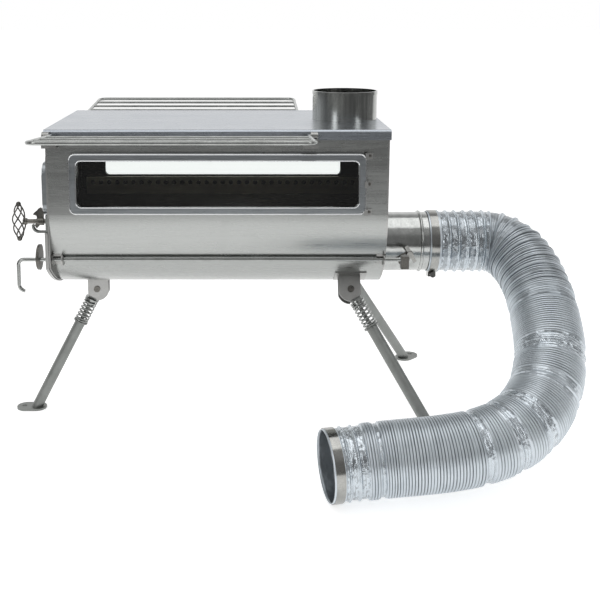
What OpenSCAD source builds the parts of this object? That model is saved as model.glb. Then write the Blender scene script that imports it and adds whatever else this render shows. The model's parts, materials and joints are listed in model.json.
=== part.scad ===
// Tent wood stove: a U-section firebox on three folding spring-lock legs, with a window in each
// side, a windowed loading door, two folding wire racks and a ribbed outside-air hose.
// Millimetres. X runs from the door end to the air pipe end, -Y is the front, Z = 0 is the ground.

/* [Firebox] */
// Length of the firebox over its two end plates
body_l = 438; // [400:1:480]
// Half of the width over the side walls
body_half = 128; // [124:1:136]
// Half of the width of the flat strip under the firebox
belly_flat = 16; // [10:1:24]
// Height from the underside of the firebox to the underside of the top plate
body_h = 221; // [216:1:236]
// Height of the underside of the firebox above the ground
ground_h = 201.5; // [196:0.5:212]
// Thickness of the folded sheet
sheet = 1.5; // [1:0.1:1.8]
// Thickness of the end plates
end_t = 2; // [1.5:0.1:2.5]

/* [Top plate and flue] */
// Depth of the folded lip of the top plate
lip_h = 13; // [9:0.5:14]
// Outer radius of the folded edge
bend_r = 4.5; // [2.5:0.5:5]
// Distance from the flue collar to the air pipe end of the firebox
flue_edge = 1.5; // [1:0.5:24]
// Outer diameter of the flue collar
flue_d = 89; // [80:1:90]
// Height of the collar above the top plate
flue_h = 40; // [30:1:60]
// Width of the flange under the top plate
flue_flange_w = 4; // [2:0.5:4]

/* [Windows] */
// Distance from a side window frame to each end of the firebox
win_side = 29; // [27:1:48]
// Height of a window frame above the start of the rounded corner
win_foot = 1.5; // [1:0.5:8]
// Distance from the top face of the stove to the window frame
win_drop = 30; // [26:1:32]
// Width of the frame round the glass
win_rim = 10; // [8:0.5:12]
// How far a frame stands out from the wall
frame_t = 5.5; // [5:0.1:7]
// Thickness of the glass
glass_t = 3.4; // [3:0.1:3.6]
// Thickness of the flat seal behind the glass
seal_t = 0.6; // [0.4:0.1:0.8]
// Outer corner radius of a frame
win_r = 9; // [6:0.5:12]
// Length of a clip that holds the frame
clip_l = 10; // [8:0.5:12]
// Height of a clip
clip_h = 8; // [6:0.5:10]

/* [Door end] */
// Height of the plate below the loading door over the underside of the firebox
sill_h = 88.5; // [84.5:1:92.5]
// How far the lower front panel stands out
panel_t = 4; // [3:0.5:5]
// Radius of the shallow arc under the front panel
front_arc_r = 216; // [200:1:240]
// How far the front plates reach below the firebox
front_drop = 2; // [1:0.5:5]
// How far the front plates stand out past the side walls
front_margin = 1.5; // [0.5:0.5:2]
// Distance from the door to each side wall
door_side = 16; // [15:1:20]
// Distance from the door up to the lip of the top plate
door_clear = 19; // [17:1:24]
// Depth of the door pan
door_t = 3; // [2.6:0.1:4]
// Width of the door beside its window frame
door_rim = 2; // [2:0.5:8]
// Width of the door above and below its window frame
door_foot = 14.5; // [14:0.5:18]
// Width of the frame round the door glass
door_win_rim = 14; // [12:1:16]
// Outer corner radius of the door window frame
door_win_r = 16; // [10:1:20]
// Radius of the draft port in the front panel
port_r = 8.5; // [6:0.5:9]
// Diameter of the door hinge knuckles
hinge_d = 8; // [7:0.5:9]
// Diameter of the door hinge pin
hinge_pin_d = 4; // [3:0.1:4.5]

/* [Door handle] */
// Diameter of the handle shaft
shaft_d = 6; // [5:0.5:6.5]
// Length of the twisted wire basket between the centres of its end balls
basket_l = 46; // [40:1:50]
// Largest outer diameter of the basket
basket_d = 19; // [16:0.5:20]
// Diameter of a basket wire
basket_wire = 2; // [1.6:0.1:2.2]
// Diameter of the end balls
ball_d = 7; // [6:0.5:8]
// Distance of the middle of the basket from the door face
basket_out = 38.5; // [36:0.5:42]

/* [Air control] */
// Diameter of the control rod
rod_d = 5; // [4:0.1:5.5]
// Travel of the control rod
rod_travel = 10.7; // [9:0.1:10.7]
// Diameter of the draft disc on the rod
disc_d = 34; // [32:0.5:35]
// Thickness of the draft disc
disc_t = 2.5; // [2:0.1:3]
// Outer diameter of the air pipe
pipe_d = 83; // [76:1:84]
// Length of the air pipe outside the firebox
pipe_out = 82; // [78:1:86]
// Wall of the air pipe
pipe_wall = 1.5; // [1:0.1:1.8]
// Height of the bottom of the air pipe over the underside of the firebox
pipe_edge = 7; // [5:0.5:9]
// Diameter of the damper shaft
damper_d = 6; // [5:0.5:6.5]

/* [Racks] */
// Reach of a rack from its hinge to its outer bar
rack_reach = 148; // [120:1:155]
// Length of a rack between the middles of its arms
rack_l = 324; // [300:1:326]
// Diameter of the frame wire
rack_wire = 5; // [4:0.5:5]
// Diameter of the inner bars
rack_bar = 4; // [3:0.5:4.5]
// Number of inner bars
rack_bars = 3; // [2:1:5]
// Upward tilt of an open rack in degrees
rack_tilt = 4; // [2:0.5:6]

/* [Legs] */
// Distance of a leg pivot from the end of the firebox
pivot_inset = 42.5; // [39:0.5:54]
// Distance of a leg pivot from the firebox wall
pivot_h = 20; // [19.5:0.5:23]
// Splay of a leg from the wall's normal in degrees
splay = 27.5; // [24:0.5:29]
// Sideways tilt of the two right-hand legs in degrees
leg_tilt = 32; // [28:0.5:34]
// Outer diameter of a leg tube
leg_d = 15; // [13:0.5:16]
// Wall of a leg tube
leg_wall = 1.2; // [1:0.1:1.5]
// Distance from the pivot to the end of the spring
spring_end = 55; // [50:1:60]
// Wire diameter of a leg spring
spring_wire = 2.3; // [1.8:0.1:2.4]
// Outer diameter of a leg spring
spring_d = 20.2; // [19.8:0.1:20.6]
// Number of turns of a leg spring
spring_turns = 7; // [5:1:7]
// Travel of a lock sleeve
sleeve_travel = 8; // [6:0.5:9]
// Length of a foot plate
foot_l = 43; // [38:1:48]
// Width of a foot plate
foot_w = 28; // [24:1:30]
// Thickness of a foot plate
foot_t = 3; // [2:0.5:4]
// Radius of the peg hole in a foot plate
peg_r = 3.5; // [2.5:0.5:4]

/* [Air hose] */
// Wall of the hose under its ribs
hose_wall = 0.78; // [0.6:0.02:1]
// Depth of a hose rib
rib_depth = 2; // [1:0.1:2.2]
// Number of hose ribs
ribs = 108; // [60:1:110]
// Length of the smooth cuff at each end of the hose
cuff_l = 15; // [12:1:18]
// Width of a hose clamp band
clamp_w = 11; // [9:0.5:12]

/* [Hidden] */
$fn = 48;

// Running gaps: between moving pieces, between a shaft and its bore, and past a cut
gap = 0.3;
bore_gap = 0.06;
over = 1;

// Colours
steel = [0.66, 0.67, 0.67];
bright = [0.80, 0.81, 0.82];
plate_blue = [0.70, 0.73, 0.77];
leg_grey = [0.58, 0.60, 0.60];
dark = [0.24, 0.24, 0.24];
foil = [0.78, 0.79, 0.80];
glass_tint = [0.85, 0.90, 0.92, 0.35];

// Firebox places
half_l = body_l / 2;
belly_r = body_half - belly_flat;
belly_z = ground_h + belly_r;
wall_top = ground_h + body_h;
top_z = wall_top + sheet;
// The walls end where the fold of the top plate starts to turn
seat_z = wall_top - (bend_r - sheet);
front_face = -half_l;
panel_face = front_face - panel_t;
front_half = body_half + front_margin;
sill_z = ground_h + sill_h;
flue_x = half_l - flue_d / 2 - flue_edge;

// Window places
win_l = body_l - 2 * win_side;
win_h = top_z - win_drop - belly_z - win_foot;
win_z = top_z - win_drop - win_h / 2;
win_in_l = win_l - 2 * win_rim;
win_in_h = win_h - 2 * win_rim;
glass_edge = 3.5;
glass_l = win_in_l + 2 * glass_edge;
glass_h = win_in_h + 2 * glass_edge;
win_in_r = 6;

// Door places
door_gap = 0.8;
door_half = body_half - door_side;
door_back = front_face - door_gap;
door_face = door_back - door_t;
door_z0 = sill_z + 3 * end_t / 2;
door_h = top_z - lip_h - door_clear - door_z0;
door_z = door_z0 + door_h / 2;
door_win_half = door_half - door_rim;
door_win_h = door_h - 2 * door_foot;
door_in_r = 8;
door_corner = 10;
load_side = 15;
load_rim = 8;
load_half = door_half - load_side;
load_h = door_h - 2 * load_rim;
hinge_y = door_half + hinge_d;
hinge_x = front_face - hinge_d / 2 - gap;
knuckle_l = 14;
hinge_spread = 34;
handle_inset = 8;
handle_rise = 7.5;
handle_y = handle_inset - door_half;
handle_z = door_z0 + handle_rise;
cam_t = 4;

// Rod places
rod_gap = 2;
rod_rise = 50;
rod_z = ground_h + rod_rise;
rod_drop = belly_z - rod_z;
rod_y = -(belly_flat + sqrt(pow(belly_r, 2) - pow(rod_drop, 2)) + rod_d / 2 + rod_gap);
rod_reach = 39;
rod_tail = 31;
rod_x0 = panel_face - rod_reach;
rod_x1 = half_l + rod_tail;
disc_x = panel_face - rod_travel - gap;
disc_in = 9;
disc_up = 1.3;
port_in = 7;
disc_y = rod_y + disc_in;
disc_z = rod_z + disc_up;
port_y = disc_y + port_in;
lug_flange = 1.5;
lug_r = 8;

// Damper places
pipe_r = pipe_d / 2;
pipe_z = ground_h + pipe_edge + pipe_r;
pipe_end = half_l + pipe_out;
damper_out = 37;
damper_reach = 42;
damper_x = half_l + damper_out;
damper_y0 = -pipe_r - damper_reach;
damper_nut_l = 4;
crank_t = 2;
crank_back = 12;
crank_drop = 7;
crank_play = 2;
crank_pin_d = 3;
crank_pin_x = damper_x - crank_back;
crank_pin_z = pipe_z - crank_drop;
crank_y = damper_y0 + damper_nut_l;
crank_angle = atan2(crank_pin_z - pipe_z, crank_pin_x - damper_x);
crank_slot = crank_pin_d + 2 * crank_play;
damper_tilt = 10;

// Rack places
rack_drop = 7;
rack_out = 5.5;
rack_inset = 10;
rack_z = top_z - rack_drop;
rack_y = body_half + 2 * sheet + rack_out;
rack_x = rack_inset - half_l;
rack_corner = 12;
knuckle_wall = 2.4;
knuckle_r = rack_wire / 2 + knuckle_wall;
rack_knuckle = 9;
tab_w = 19;
tab_t = 2;
tab_out = 12;

// Leg places
pivot_x = half_l - pivot_inset;
ear_t = 2;
ear_gap = 12;
ear_out = 13;
ear_in = 16;
cam_r = 17;
lock_flat = 13.5;
lock_w = 16;
pin_d = 6;
pin_head_d = 9;
pin_head_t = 1.6;
head_t = ear_gap - 4 * gap;
head_r = 7;
head_w = 12;
head_end = cam_r - gap / 3;
core_d = 6;
sleeve_top = cam_r + 1.4 * gap;
sleeve_flange_t = 2;
sleeve_rim = 0.1;
sleeve_flange_d = spring_d + 2 * sleeve_rim;
nose_play = 0.8;
sleeve_nose_d = spring_d - 2 * spring_wire - 2 * nose_play;
nose_short = 0.5;
sleeve_nose_l = sleeve_travel - nose_short;
washer_t = 2;
base_l = 42;
base_w = 32;
// Name, direction along X, tilt about X
LEGS = [["left", -1, 0], ["front", 1, -leg_tilt], ["rear", 1, leg_tilt]];

function wall_point(tilt) = tilt == 0 ? [0, ground_h]
    : [sign(tilt) * belly_flat + belly_r * sin(tilt), belly_z - belly_r * cos(tilt)];
function normal(tilt) = [sin(tilt), -cos(tilt)];
function pivot(leg) = let (w = wall_point(leg[2]), n = normal(leg[2]))
    [leg[1] * pivot_x, w[0] + pivot_h * n[0], w[1] + pivot_h * n[1]];
function leg_way(leg) = let (n = normal(leg[2]))
    [leg[1] * sin(splay), cos(splay) * n[0], cos(splay) * n[1]];
function leg_length(leg) = (pivot(leg)[2] - foot_t) / -leg_way(leg)[2];
function ankle(leg) = pivot(leg) + leg_length(leg) * leg_way(leg);
function heading(leg) = atan2(leg_way(leg)[1], leg_way(leg)[0]);
foot_in_share = 0.314;
foot_far = foot_l * (1 - foot_in_share) - foot_w / 2;
function foot_reach(leg) = ankle(leg)[0] + foot_far * cos(heading(leg)) + leg[1] * foot_w / 2;

// The origin is under the middle of the box round the stove without its hose
origin_x = -(foot_reach(LEGS[0]) + foot_reach(LEGS[1])) / 2;

// Hose: the middle of its route, from the pipe to the open end on the ground
HOSE_ROUTE = [
    [291, 0, 250], [306, 0, 250], [324, 0, 250], [346, 0, 250], [368, 0, 250], [390, -4, 248],
    [410, -20, 239], [424, -48, 221], [431, -82, 196], [431, -118, 170], [427, -154, 144], [417, -186, 118],
    [400, -214, 96], [376, -238, 80], [346, -257, 69], [312, -269, 62], [276, -276, 58],
    [240, -279, 55], [204, -280, 52], [170, -282, 49], [148, -284, 47], [130, -287, 46]
];
hose_sides = 12;
spigot_d = pipe_d - 2 * pipe_wall;
spigot_l = 11;
hose_bore_d = (spigot_d + 2 * gap) / cos(180 / hose_sides);
cuff_wall = 1;
cuff_d = hose_bore_d + 2 * cuff_wall;
hose_d = hose_bore_d + 2 * (hose_wall + rib_depth);
bore_rings = 44;
route_steps = 8;
clamp_t = 1.2;
upper_turn = -10;
lower_turn = -60;

function catmull(a, b, c, d, t) = 0.5 * ((2 * b) + (c - a) * t
    + (2 * a - 5 * b + 4 * c - d) * t * t + (3 * b - a - 3 * c + d) * t * t * t);
function route_point(p, i, t) = let (n = len(p) - 1)
    catmull(p[max(i - 1, 0)], p[i], p[min(i + 1, n)], p[min(i + 2, n)], t);
function smooth_route(p) = concat(
    [for (i = [0:len(p) - 2], k = [0:route_steps - 1]) route_point(p, i, k / route_steps)],
    [p[len(p) - 1]]);
function run_sum(p, i = 0, s = 0) = i >= len(p) - 1 ? [s]
    : concat([s], run_sum(p, i + 1, s + norm(p[i + 1] - p[i])));
function unit(v) = v / norm(v);

HOSE_LINE = smooth_route(HOSE_ROUTE);
HOSE_RUN = run_sum(HOSE_LINE);
hose_l = HOSE_RUN[len(HOSE_RUN) - 1];
function along(axis) = [for (i = [0:len(HOSE_LINE) - 1]) [HOSE_RUN[i], HOSE_LINE[i][axis]]];
HOSE_X = along(0);
HOSE_Y = along(1);
HOSE_Z = along(2);
function hose_at(s) = [lookup(s, HOSE_X), lookup(s, HOSE_Y), lookup(s, HOSE_Z)];
route_step = 4;
function hose_way(s) = unit(hose_at(min(s + route_step, hose_l)) - hose_at(max(s - route_step, 0)));
// The route bends in a slanting plane, so this direction is never along it
hose_side = [0, 0.57, -0.82];
function hose_ring(s, r) = let (
        t = hose_way(s), u = unit(cross(t, hose_side)), v = cross(t, u), c = hose_at(s))
    [for (k = [0:hose_sides - 1]) c + r * (cos(360 * k / hose_sides) * u + sin(360 * k / hose_sides) * v)];

echo(hose_length_mm = hose_l);
echo(leg_lengths_mm = [for (leg = LEGS) leg_length(leg)]);
echo(pivots_mm = [for (leg = LEGS) pivot(leg) + [origin_x, 0, 0]]);
echo(ankles_mm = [for (leg = LEGS) ankle(leg) + [origin_x, 0, 0]]);
echo(origin_x_mm = origin_x, rod_y_mm = rod_y, rod_z_mm = rod_z, hinge_mm = [hinge_x, hinge_y]);

// Places a drawing of the YZ plane as a slab along X
module along_x(x0, length) {
    translate([x0, 0, 0]) rotate([90, 0, 90]) linear_extrude(length) children();
}

// Places a drawing of the XZ plane as a slab along Y
module along_y(y0, length) {
    translate([0, y0 + length, 0]) rotate([90, 0, 0]) linear_extrude(length) children();
}

// A rectangle with round corners, whose radius the shorter side may limit
module rounded(l, h, radius) {
    r = min(radius, 0.45 * min(l, h));
    square([l - 2 * r, h], center = true);
    square([l, h - 2 * r], center = true);
    for (sx = [-1, 1], sy = [-1, 1]) translate([sx * (l / 2 - r), sy * (h / 2 - r)]) circle(r = r);
}

// A straight round bar between two points that lie on one line along an axis
module bar_x(x0, x1, d) translate([x0, 0, 0]) rotate([0, 90, 0]) cylinder(d = d, h = x1 - x0);
module bar_y(y0, y1, d) translate([0, y1, 0]) rotate([90, 0, 0]) cylinder(d = d, h = y1 - y0);

// Quarter bend of a round wire in the XY plane, from the X axis to the Y axis
module wire_bend(r, d, turn = 90) rotate_extrude(angle = turn) translate([r, 0]) circle(d = d);

// Cross-section of the firebox, drawn in by inset and carried up to a height
module u_section(inset, top) {
    intersection() {
        union() {
            for (s = [-1, 1]) translate([s * belly_flat, belly_z]) circle(r = belly_r - inset);
            translate([-belly_flat, ground_h + inset]) square([2 * belly_flat, belly_r]);
            translate([inset - body_half, belly_z]) square([2 * (body_half - inset), top - belly_z]);
        }
        translate([-body_half, ground_h]) square([2 * body_half, top - ground_h]);
    }
}

// Outline of the front plates: straight sides over a shallow arc
module front_section(inset, z1) {
    z0 = ground_h - front_drop;
    intersection() {
        translate([inset - front_half, z0]) square([2 * (front_half - inset), z1 - z0]);
        translate([0, z0 + front_arc_r]) circle(r = front_arc_r - inset, $fn = 96);
    }
}

// The firebox
module barrel() color(steel) difference() {
    along_x(end_t - half_l, body_l - 2 * end_t) difference() {
        u_section(0, seat_z);
        u_section(sheet, seat_z + over);
    }
    along_y(-body_half - over, 2 * (body_half + over))
        translate([0, win_z]) rounded(win_in_l, win_in_h, win_in_r);
}

module lid_section(inset, z0) {
    w = body_half + 1.3 * sheet - inset;
    r = bend_r - inset;
    translate([-w, z0]) square([2 * w, top_z - inset - r - z0]);
    translate([r - w, z0]) square([2 * (w - r), top_z - inset - z0]);
    for (s = [-1, 1]) translate([s * (w - r), top_z - inset - r]) circle(r = r);
}

module top_plate() color(plate_blue) difference() {
    lid_half = half_l + gap + sheet;
    union() {
        along_x(-lid_half, 2 * lid_half) difference() {
            lid_section(0, top_z - lip_h);
            lid_section(sheet, top_z - lip_h - over);
        }
        for (x = [-lid_half, lid_half - sheet]) along_x(x, sheet) lid_section(sheet / 2, top_z - lip_h);
    }
    translate([flue_x, 0, wall_top - over]) cylinder(d = flue_d + gap, h = sheet + 2 * over);
}

module flue_collar() color(bright) translate([flue_x, 0, 0]) difference() {
    union() {
        translate([0, 0, wall_top - sheet]) cylinder(d = flue_d, h = flue_h + 2 * sheet);
        intersection() {
            translate([0, 0, wall_top - sheet]) cylinder(d = flue_d + 2 * flue_flange_w, h = sheet);
            translate([-flue_d, -flue_d, wall_top - sheet])
                cube([flue_d + half_l - flue_x, 2 * flue_d, sheet]);
        }
        translate([0, 0, top_z + flue_h - bend_r]) cylinder(d = flue_d + sheet, h = bend_r);
    }
    translate([0, 0, wall_top - sheet - over])
        cylinder(d = flue_d - 2 * sheet, h = flue_h + 3 * sheet + 2 * over);
}

module rod_hole(x0, length) {
    translate([0, rod_y, rod_z]) bar_x(x0, x0 + length, rod_d + 4 * gap);
}

module draft_port(x0, length) {
    translate([0, port_y, disc_z]) bar_x(x0, x0 + length, 2 * port_r);
}

module end_frame() color(steel) difference() {
    along_x(front_face, end_t) difference() {
        front_section(sheet, seat_z);
        translate([0, door_z]) rounded(2 * load_half, load_h, door_corner);
    }
    rod_hole(front_face - over, end_t + 2 * over);
    draft_port(front_face - over, end_t + 2 * over);
}

module front_panel() color(steel) difference() {
    along_x(panel_face, panel_t) front_section(0, sill_z);
    along_x(panel_face + sheet, panel_t) front_section(2 * sheet, sill_z - sheet);
    rod_hole(panel_face - over, panel_t + 2 * over);
    draft_port(panel_face - over, panel_t + 2 * over);
}

module back_plate() color(steel) difference() {
    along_x(half_l - end_t, end_t) u_section(0, seat_z);
    translate([0, 0, pipe_z]) bar_x(half_l - end_t - over, half_l + over, pipe_d + 2 * gap);
}

// A window frame as a pressed ring with a pocket for the glass and its seal, facing -Y
module window_ring(l, h, in_l, in_h, pocket_l, pocket_h, r, in_r) difference() {
    linear_extrude(frame_t) difference() {
        rounded(l, h, r);
        rounded(in_l, in_h, in_r);
    }
    translate([0, 0, -over]) linear_extrude(glass_t + seal_t + over)
        rounded(pocket_l + 2 * gap, pocket_h + 2 * gap, in_r);
}

module on_side(side) {
    translate([0, side * body_half, win_z]) rotate([90, 0, side < 0 ? 0 : 180]) children();
}

module window_frame(side) color(bright) on_side(side)
    window_ring(win_l, win_h, win_in_l, win_in_h, glass_l, glass_h, win_r, win_in_r);

module window_glass(side) color(glass_tint) on_side(side)
    translate([0, 0, seal_t]) linear_extrude(glass_t) rounded(glass_l, glass_h, win_in_r);

module window_seals() color(dark) for (side = [-1, 1]) on_side(side)
    linear_extrude(seal_t) difference() {
        rounded(glass_l, glass_h, win_in_r);
        rounded(win_in_l, win_in_h, win_in_r);
    }

// Clips that hold the frames at their air pipe end
clip_shares = [-0.46, 0, 0.46];
module window_clips() color(steel) for (side = [-1, 1], share = clip_shares)
    on_side(side) scale([-side, 1, 1]) translate([win_l / 2, share * win_h, 0]) {
        lap = clip_l / 4;
        difference() {
            translate([-lap, -clip_h / 2, 0]) cube([clip_l, clip_h, frame_t + gap + sheet]);
            translate([-lap - over, -clip_h / 2 - over, -over])
                cube([lap + gap + over, clip_h + 2 * over, frame_t + gap + over]);
            translate([gap + sheet, -clip_h / 2 - over, sheet])
                cube([clip_l, clip_h + 2 * over, frame_t + 2 * sheet]);
        }
    }

// Inside the firebox
grate_rise = 36.5;
grate_margin = 24;
grate_z = ground_h + grate_rise;
grate_t = 3;
grate_half = belly_flat + sqrt(pow(belly_r - sheet, 2) - pow(belly_z - grate_z, 2)) - 2 * gap;
grate_l = body_l - 2 * grate_margin;
slot_w = 6;
slots = 15;
slot_rows = 3;

module fire_grate() color(dark) difference() {
    translate([-grate_l / 2, -grate_half, grate_z]) cube([grate_l, 2 * grate_half, grate_t]);
    for (i = [0:slots - 1], row = [0:slot_rows - 1]) {
        pitch = grate_l / (slots + 1);
        row_l = 2 * grate_half / slot_rows;
        slot_x = (i + 1) * pitch - grate_l / 2 - slot_w / 2;
        translate([slot_x, (row + 1 / 8) * row_l - grate_half, grate_z - over])
            cube([slot_w, 3 * row_l / 4, grate_t + 2 * over]);
    }
}

baffle_drop = 26;
baffle_l = 150;
baffle_half = 98;
hanger = 14;

module baffle_plate() color(dark) {
    x0 = half_l - end_t - baffle_l - 2 * gap;
    z0 = wall_top - baffle_drop;
    translate([x0, -baffle_half, z0]) cube([baffle_l, 2 * baffle_half, end_t]);
    for (x = [x0, x0 + baffle_l - hanger], s = [-1, 1])
        translate([x, s > 0 ? baffle_half - sheet : -baffle_half, z0])
            cube([hanger, sheet, baffle_drop - gap]);
}

channel_h = 26;
channel_w = 9;
channel_hole_d = 7;
channel_pitch = 12.4;
channel_holes = 33;
channel_margin = 11;
channel_l = body_l - 2 * channel_margin;
channel_drop = 2;

// A folded channel along the wall under a window, with its row of air holes
module air_channel(side) color(dark) {
    z1 = win_z - win_in_h / 2 - channel_drop;
    wall = body_half - sheet;
    scale([1, side, 1]) difference() {
        along_x(-channel_l / 2, channel_l) difference() {
            translate([wall - channel_w, z1 - channel_h]) square([channel_w, channel_h]);
            translate([wall - channel_w + sheet, z1 - channel_h - over])
                square([channel_w, channel_h - sheet + over]);
            translate([belly_flat, belly_z]) difference() {
                circle(r = belly_r + channel_w);
                circle(r = belly_r - sheet);
                translate([-belly_r - channel_w, 0]) square(2 * (belly_r + channel_w));
            }
        }
        for (i = [0:channel_holes - 1])
            translate([(i - (channel_holes - 1) / 2) * channel_pitch, 0, z1 - channel_h / 3])
                bar_y(wall - channel_w - over, wall - channel_w + sheet + over, channel_hole_d);
    }
}

// The air pipe, with its bead and the step that the hose is pushed up to
bead_out = 61;
bead_x = half_l + bead_out;
bead_r = 2.2;

module air_pipe() color(bright) difference() {
    translate([0, 0, pipe_z]) union() {
        bar_x(half_l - 5 * end_t, pipe_end - spigot_l, pipe_d);
        bar_x(half_l, pipe_end, spigot_d);
        translate([bead_x, 0, 0]) rotate([0, 90, 0]) rotate_extrude()
            translate([pipe_r, 0]) circle(r = bead_r);
        bar_x(half_l, half_l + sheet, pipe_d + 4 * sheet);
    }
    translate([0, 0, pipe_z])
        bar_x(half_l - 5 * end_t - over, pipe_end - spigot_l - pipe_wall, pipe_d - 2 * pipe_wall);
    translate([0, 0, pipe_z]) bar_x(half_l, pipe_end + over, spigot_d - 2 * pipe_wall);
    translate([damper_x, 0, pipe_z]) bar_y(-pipe_r - over, pipe_r + over, damper_d + 2 * bore_gap);
}

// Where the brackets stand and how long they are
bracket_inset = 2;
bracket_left_l = 14;
bracket_right_l = 10;
bracket_x0 = front_face + bracket_inset;
bracket_x1 = half_l - bracket_inset;

// A bracket that guides the rod: flanges that stand on the firebox wall, joined by a curved web
module rod_bracket(x0, x1, flanges) color(steel) difference() {
    union() {
        for (x = flanges) along_x(x, lug_flange) difference() {
            translate([rod_y, rod_z]) {
                circle(r = lug_r);
                translate([0, -lug_r]) square([belly_r / 4, 2 * lug_r]);
            }
            translate([-belly_flat, belly_z]) circle(r = belly_r, $fn = 96);
        }
        along_x(x0, x1 - x0) intersection() {
            difference() {
                translate([-belly_flat, belly_z]) circle(r = belly_r + lug_flange, $fn = 96);
                translate([-belly_flat, belly_z]) circle(r = belly_r, $fn = 96);
            }
            translate([rod_y, rod_z - lug_r]) square([belly_r / 2, 2 * lug_r]);
        }
    }
    translate([0, rod_y, rod_z]) bar_x(x0 - over, x1 + over, rod_d + 2 * bore_gap);
}

// Hinges of a rack: a knuckle at each end and a stop tab under each arm, for the front
module rack_hinges(side) color(steel) scale([1, -side, 1]) for (end = [0, 1]) {
    arm_x = rack_x + end * rack_l;
    out = end == 0 ? -1 : 1;
    lip_y = -(body_half + 1.3 * sheet);
    tab_z = rack_z - rack_wire / 2 - gap - tab_out * tan(rack_tilt) / 8;
    translate([arm_x, 0, 0]) scale([out, 1, 1]) {
        difference() {
            union() {
                translate([rack_wire / 2 + gap, -rack_y, rack_z]) bar_x(0, rack_knuckle, 2 * knuckle_r);
                translate([rack_wire / 2 + gap, -rack_y, rack_z - knuckle_r])
                    cube([rack_knuckle, rack_y + lip_y, 2 * knuckle_r]);
            }
            translate([0, -rack_y, rack_z])
                bar_x(0, rack_wire + rack_knuckle + over, rack_wire + 2 * bore_gap);
        }
        translate([rack_wire / 2 + gap + rack_knuckle - tab_w, 0, 0]) {
            translate([0, lip_y - tab_t, tab_z - tab_out])
                cube([tab_w, tab_t, tab_out - rack_wire / 2 + gap]);
            translate([0, lip_y - tab_out - tab_t, tab_z - tab_out]) cube([tab_w, tab_out + 2 * gap, tab_t]);
            translate([0, lip_y - tab_out - tab_t, tab_z - tab_out]) cube([tab_w, tab_t, tab_out]);
        }
    }
}

// A wire rack, drawn flat with its hinge on the X axis and its reach along -Y
module rack_wires() {
    x1 = rack_x + rack_l;
    pin_l = rack_wire / 2 + gap + rack_knuckle;
    for (end = [0, 1]) translate([rack_x + end * rack_l, 0, 0]) scale([end == 0 ? 1 : -1, 1, 1]) {
        bar_y(rack_corner - rack_reach, 0, rack_wire);
        translate([-pin_l, 0, 0]) bar_x(0, pin_l, rack_wire);
        sphere(d = rack_wire);
        translate([rack_corner, rack_corner - rack_reach, 0]) rotate([0, 0, 180])
            wire_bend(rack_corner, rack_wire);
    }
    translate([0, -rack_reach, 0]) bar_x(rack_x + rack_corner, x1 - rack_corner, rack_wire);
    for (i = [1:rack_bars])
        translate([0, -rack_reach * i / (rack_bars + 1), 0]) bar_x(rack_x, x1, rack_bar);
}

module rack(side) color(bright) scale([1, -side, 1])
    translate([0, -rack_y, rack_z]) rotate([-rack_tilt, 0, 0]) rack_wires();

// Door
module door_pan() color(steel) difference() {
    along_x(door_face, door_t) translate([0, door_z]) rounded(2 * door_half, door_h, door_corner);
    along_x(door_face + sheet, door_t) translate([0, door_z])
        rounded(2 * (door_half - sheet), door_h - 2 * sheet, door_corner - sheet);
    along_x(door_face - over, door_t) translate([0, door_z])
        rounded(2 * (door_win_half - door_win_rim), door_win_h - 2 * door_win_rim, door_in_r);
    translate([0, handle_y, handle_z])
        bar_x(door_face - over, door_face + sheet + over, shaft_d + 2 * bore_gap);
}

module on_door() {
    translate([door_face, 0, door_z]) rotate([90, 0, -90]) children();
}

module door_window_frame() color(bright) on_door() {
    in_l = 2 * (door_win_half - door_win_rim);
    in_h = door_win_h - 2 * door_win_rim;
    window_ring(2 * door_win_half, door_win_h, in_l, in_h, in_l + 2 * glass_edge, in_h + 2 * glass_edge,
        door_win_r, door_in_r);
}

module door_glass() color(glass_tint) on_door() linear_extrude(glass_t + seal_t)
    rounded(2 * (door_win_half - door_win_rim + glass_edge), door_win_h - 2 * (door_win_rim - glass_edge),
        door_in_r);

// Rope seal in the door pan, just clear of the frame when the door is shut
module door_seal() color(dark) along_x(door_face + sheet, door_t - sheet + door_gap - gap)
    translate([0, door_z]) difference() {
        rounded(2 * load_half + 3 * end_t, load_h + 3 * end_t, door_corner);
        rounded(2 * load_half - end_t, load_h - end_t, door_corner);
    }

module pin_bore(z) translate([hinge_x, hinge_y, z - over])
    cylinder(d = hinge_pin_d + 2 * bore_gap, h = knuckle_l + 2 * over);

// Knuckles of the door hinge: the straps carry the outer ones and the leaf the inner ones
module knuckles(zs, strap_x0, strap_x1, strap_y) for (z = zs) difference() {
    union() {
        translate([hinge_x, hinge_y, z]) cylinder(d = hinge_d, h = knuckle_l);
        translate([strap_x0, strap_y, z]) cube([strap_x1 - strap_x0, hinge_y - strap_y, knuckle_l]);
    }
    pin_bore(z);
}

// The straps lie on the door face, beside the window frame
module door_hinge_straps() color(steel)
    knuckles([door_z - hinge_spread, door_z + hinge_spread - knuckle_l],
        door_face - sheet, door_face, door_win_half + gap);

module door_hinge_leaf() color(steel) {
    zs = [door_z - hinge_spread + knuckle_l + gap, door_z + hinge_spread - 2 * knuckle_l - gap];
    for (z = zs) difference() {
        union() {
            translate([hinge_x, hinge_y, z]) cylinder(d = hinge_d, h = knuckle_l);
            translate([hinge_x, hinge_y, z]) cube([front_face - hinge_x, hinge_d / 2, knuckle_l]);
        }
        pin_bore(z);
    }
}

module door_hinge_pin() color(bright) translate([hinge_x, hinge_y, door_z - hinge_spread - end_t]) {
    cylinder(d = hinge_pin_d, h = 2 * hinge_spread + 2 * end_t);
    translate([0, 0, -end_t / 2]) cylinder(d = hinge_d, h = end_t);
    translate([0, 0, 2 * hinge_spread + 3 * end_t / 2]) cylinder(d = hinge_d, h = end_t);
}

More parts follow.
